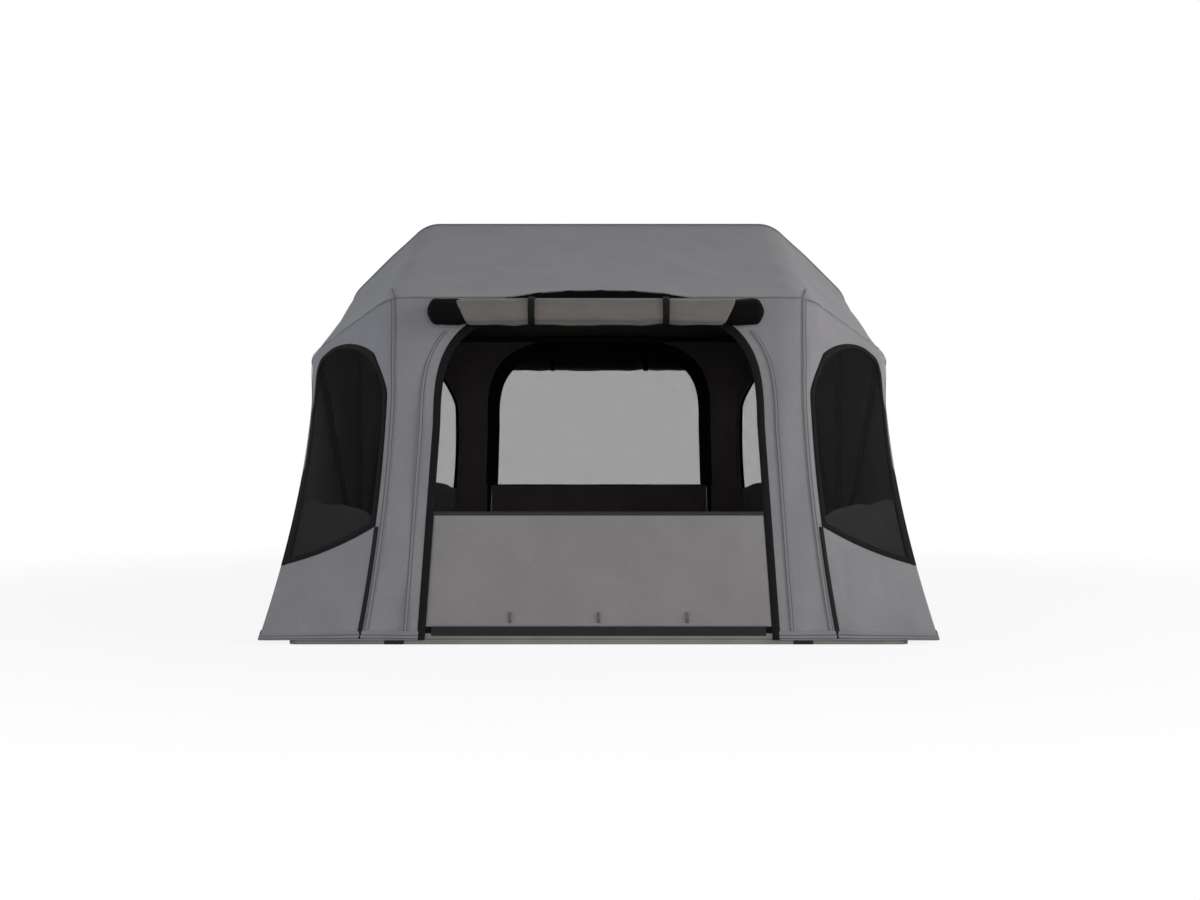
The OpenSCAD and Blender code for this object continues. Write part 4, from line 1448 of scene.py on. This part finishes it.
    def wrap(self, name: str, at: Curved, count: int, finish: Material) -> Piece:
        """A skin around the roll, facing away from its middle."""
        points = self.spread(at, even(count), even(73))
        middle = points[36, count // 2] - np.array(self.roll_axis()) * np.array([1, self.end.value, 1])
        return Workshop.sheet(name, points, Vector((0, middle[1], middle[2])), finish)

    def roll(self) -> None:
        """Makes the rolled flap, the rolled mesh, the straps and, at the rear, the closed mesh."""
        word, colours = self.end.word, self.palette
        flap = self.wrap(f"{word}_rolled_flap", self.flap_pt, 161, colours.rolled)
        neck = self.patch("neck", self.neck_pt, even(121), even(13), colours.rolled, colours.lining)
        area = Workshop.area(flap) + Workshop.area(neck)
        Workshop.thicken(flap, self.flap_t)
        Workshop.thicken(neck, self.neck_t, lined=True)
        flap = Workshop.join(flap.name, flap, neck)
        self.hang(flap, "door_cloth", "door_roll")
        area / 0.62
        net = self.wrap(f"{word}_rolled_net", self.net_pt, 201, colours.net)
        self.hang(net, "mesh", *(["mesh_roll"] if self.end is End.FRONT else []))
        straps = self.tapes(self.strap_pt, (-1, 1), 5, 81, colours.tape)
        joined = Workshop.join(f"{word}_roll_tapes", *straps)
        self.hang(Workshop.thicken(joined, self.tape_t), "black_webbing", "roll_straps")
        if self.end is End.REAR:
            self.closed_net()

    def closed_net(self) -> None:
        """The door's mesh where it is zipped shut above the lower panel."""
        shape = self.shape
        low = self.sill_z + self.panel_h - 4

        def at(s: float, t: float) -> Vector:
            """A point of the mesh, s along the arch and t from the panel up."""
            x, z = shape.door_pt(s, self.edge - 9)
            p = shape.on_wall(x, low + (z - low) * t)
            return p - shape.out(p) * (1.0 + 5 * math.sin(math.pi * t) * math.cos(x / 300) ** 2)

        arch = even(133, DOOR_ARCH, DOOR_END - DOOR_ARCH)
        net = self.patch("rear_closed_net", at, arch, even(41), self.palette.mesh)
        around = even(241, self.net_foot, DOOR_END - self.net_foot)
        frame = self.ribbon(
            "rear_net_frame", self.rim_pt, (-6, 36), around, self.palette.tape, 1.0, base=-4.5
        )
        self.hang(frame, "black_webbing")
        area = Workshop.area(net)
        self.hang(net, "mesh", "door_mesh")
        area / 0.77


@dataclass
class Mattress(HalfTent):
    """One half of the foam mattress in its knitted cover."""

    width: float = 1300.0
    near: float = 1164.0
    far: float = 6.0
    low: float = 25.5
    high: float = 84.0
    round_over: float = 14.0
    pressed: float = 0.25
    crown: float = 1.6
    uneven: float = 0.7
    drawn_in: float = 1.5

    def build(self) -> Piece:
        """Models a block, rounds its edges, crowns it and draws its sides in."""
        length, depth = self.near - self.far, self.high - self.low
        bpy.ops.object.select_all(action="DESELECT")
        middle = (0, -self.end.value * (self.near + self.far) / 2 * MM, (self.low + self.high) / 2 * MM)
        size = (self.width * MM, length * MM, (depth - 4) * MM)
        bpy.ops.mesh.primitive_cube_add(size=1, location=middle, scale=size)
        pad = bpy.context.active_object
        pad.name = pad.data.name = f"{self.end.word}_mattress_pad"
        bpy.ops.object.transform_apply(location=True, rotation=True, scale=True)
        edge = pad.modifiers.new("edge", "BEVEL")
        edge.width, edge.segments = self.round_over * MM, 4
        bpy.ops.object.modifier_apply(modifier=edge.name)
        bpy.ops.object.mode_set(mode="EDIT")
        bpy.ops.mesh.select_all(action="SELECT")
        bpy.ops.mesh.subdivide(number_cuts=15)
        bpy.ops.object.mode_set(mode="OBJECT")
        for point in pad.data.vertices:
            x = point.co.x / (self.width * MM / 2)
            y = (point.co.y - middle[1]) / (length * MM / 2)
            t = (point.co.z - middle[2]) / (depth * MM / 2)
            crown = self.crown * (max(0.0, 1 - x**4) * max(0.0, 1 - y**4))
            if t > 0:
                point.co.z += t * MM * (crown + self.uneven * wander(point.co.x * 9, point.co.y * 9, 81.0))
            pull = self.drawn_in * MM * max(0.0, 1 - abs(t) ** 2)
            point.co.x -= pull * math.copysign(blend(0.97, 1.0, abs(x)), x) * (1 - y * y)
            point.co.y -= pull * math.copysign(blend(0.97, 1.0, abs(y)), y) * (1 - x * x)
        pad.data.materials.clear()
        pad.data.materials.append(self.palette.mattress)
        Workshop.only(pad)
        bpy.ops.object.shade_smooth_by_angle(angle=math.radians(60))
        bpy.ops.object.mode_set(mode="EDIT")
        bpy.ops.mesh.select_all(action="SELECT")
        bpy.ops.uv.cube_project(cube_size=1.0)
        bpy.ops.object.mode_set(mode="OBJECT")
        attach(pad, self.end.body)
        self.low * MM
        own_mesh(pad)
        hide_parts(f"{self.end.word}_mattress")
        LOG.info("%s: %d faces", pad.name, len(pad.data.polygons))
        return pad


@dataclass
class BaseFrame:
    """The rigid pieces that stay as packed: rails, floors, plates, bolts and bows."""

    palette: Palette
    frame: dict

    def dress(self) -> None:
        """Gives each shown node the finish of its slot."""
        slots = {each["node"]: each["material_slot"] for each in self.frame["record"]["subparts"]}
        for name, node in self.frame["nodes"].items():
            if node.hide_render:
                continue
            node.data.materials.clear()
            node.data.materials.append(self.palette.for_slot(slots[name]))
            LOG.info("%s dressed as %s", name, slots[name])


@dataclass(frozen=True)
class Lamp:
    """One soft square lamp: its place and size in metres, its power in watts and its colour."""

    name: str
    place: tuple[float, float, float]
    size: float
    power: float
    colour: tuple[float, float, float]

    def build(self, aim: Vector) -> None:
        """Hangs the lamp and points it at a place."""
        data = bpy.data.lights.new(self.name, "AREA")
        data.size, data.energy, data.color = self.size, self.power, self.colour
        made = bpy.data.objects.new(self.name, data)
        made.location = self.place
        made.rotation_euler = (aim - Vector(self.place)).to_track_quat("-Z", "Y").to_euler()
        bpy.context.collection.objects.link(made)


@dataclass
class Studio:
    """White floor, soft lamps on all sides and the camera in front of the door."""

    lens: float = 57.15
    sensor: float = 36.0
    stand: tuple[float, float, float] = (0.003, -5.55, 0.49)
    pitch: float = -0.6
    aim: tuple[float, float, float] = (0.0, -0.4, 0.45)
    surround: tuple[float, float, float, float] = (0.97, 0.98, 1.0, 1.0)
    surround_light: float = 0.18
    shadow_ring: tuple[float, float] = (1.4, 3.2)
    lamps: tuple[Lamp, ...] = (
        Lamp("left_lamp", (-4.2, -2.2, 1.5), 2.6, 68, (0.9, 0.95, 1.0)),
        Lamp("right_lamp", (4.2, -2.2, 1.5), 2.6, 146, (1.0, 0.96, 0.93)),
        Lamp("top_lamp", (0, 0.6, 4.4), 3.2, 5, (1.0, 1.0, 1.0)),
        Lamp("front_lamp", (0.3, -5.2, 0.9), 1.6, 57, (1.0, 0.99, 0.97)),
        Lamp("back_lamp", (0, 5.0, 2.2), 2.6, 70, (1.0, 1.0, 1.0)),
    )

    @staticmethod
    def seen(tree: bpy.types.NodeTree) -> bpy.types.NodeSocket:
        """A value that is 1 on camera, mirror and see-through rays and 0 on the rest."""
        path = tree.nodes.new("ShaderNodeLightPath")
        most = path.outputs["Is Camera Ray"]
        for kind in ("Is Glossy Ray", "Is Transmission Ray"):
            both = tree.nodes.new("ShaderNodeMath")
            both.operation = "MAXIMUM"
            tree.links.new(most, both.inputs[0])
            tree.links.new(path.outputs[kind], both.inputs[1])
            most = both.outputs[0]
        return most

    def floor(self) -> None:
        """A white floor that still takes the tent's shadow."""
        bpy.ops.object.select_all(action="DESELECT")
        bpy.ops.mesh.primitive_plane_add(size=60, location=(0, 0, -0.001))
        plane = bpy.context.active_object
        plane.name = "studio_floor"
        shader = Shader("studio_floor")
        shader.put(Base_Color=srgb(235, 235, 235), Roughness=0.9)
        glow = shader.tree.nodes.new("ShaderNodeEmission")
        away = shader.node("ShaderNodeVectorMath", {"operation": "LENGTH"}, {0: shader.place()}, "Value")
        seen = Value(shader, self.seen(shader.tree)) * (0.88 + away.rise(*self.shadow_ring) * 0.12)
        mixed = shader.tree.nodes.new("ShaderNodeMixShader")
        shader.feed(mixed.inputs[0], seen)
        shader.tree.links.new(shader.surface.outputs[0], mixed.inputs[1])
        shader.tree.links.new(glow.outputs[0], mixed.inputs[2])
        shader.tree.links.new(mixed.outputs[0], shader.output.inputs[0])
        plane.data.materials.append(shader.material)

    def world(self) -> None:
        """A white surround for the camera and a plain grey light for the rest."""
        made = bpy.data.worlds.new("studio")
        bpy.context.scene.world = made
        made.use_nodes = True
        tree = made.node_tree
        tree.nodes.clear()
        kinds = ("Background", "Background", "MixShader", "OutputWorld")
        white, light, mixed, out = (tree.nodes.new(f"ShaderNode{kind}") for kind in kinds)
        white.inputs[0].default_value, white.inputs[1].default_value = (1, 1, 1, 1), 1.0
        light.inputs[0].default_value, light.inputs[1].default_value = self.surround, self.surround_light
        tree.links.new(self.seen(tree), mixed.inputs[0])
        tree.links.new(light.outputs[0], mixed.inputs[1])
        tree.links.new(white.outputs[0], mixed.inputs[2])
        tree.links.new(mixed.outputs[0], out.inputs[0])

    def camera(self) -> None:
        """The camera straight in front of the door, at about half the tent's height."""
        data = bpy.data.cameras.new("camera")
        data.lens, data.sensor_width = self.lens, self.sensor
        data.clip_end = 200
        made = bpy.data.objects.new("camera", data)
        made.location = self.stand
        made.rotation_euler = (math.radians(90 + self.pitch), 0, 0)
        bpy.context.collection.objects.link(made)
        bpy.context.scene.camera = made

    def build(self) -> None:
        """Sets the whole studio."""
        self.floor()
        self.world()
        for lamp in self.lamps:
            lamp.build(Vector(self.aim))
        self.camera()
        bpy.context.scene.view_settings.view_transform = "Standard"


def main() -> None:
    """Builds every sub-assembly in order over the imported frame."""
    logging.basicConfig(level=logging.INFO, format="%(name)s: %(message)s")
    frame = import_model()
    palette = Palette()
    for end in End:
        shape = TentShape.of(end)
        canopy = Canopy(shape, palette, end)
        canopy.build()
        Seams(shape, palette, end, canopy=canopy).build()
        Windows(shape, palette, end).build()
        Door(shape, palette, end).build()
        Mattress(shape, palette, end).build()
    BaseFrame(palette, frame).dress()
    Studio().build()


if __name__ == "__main__":
    main()
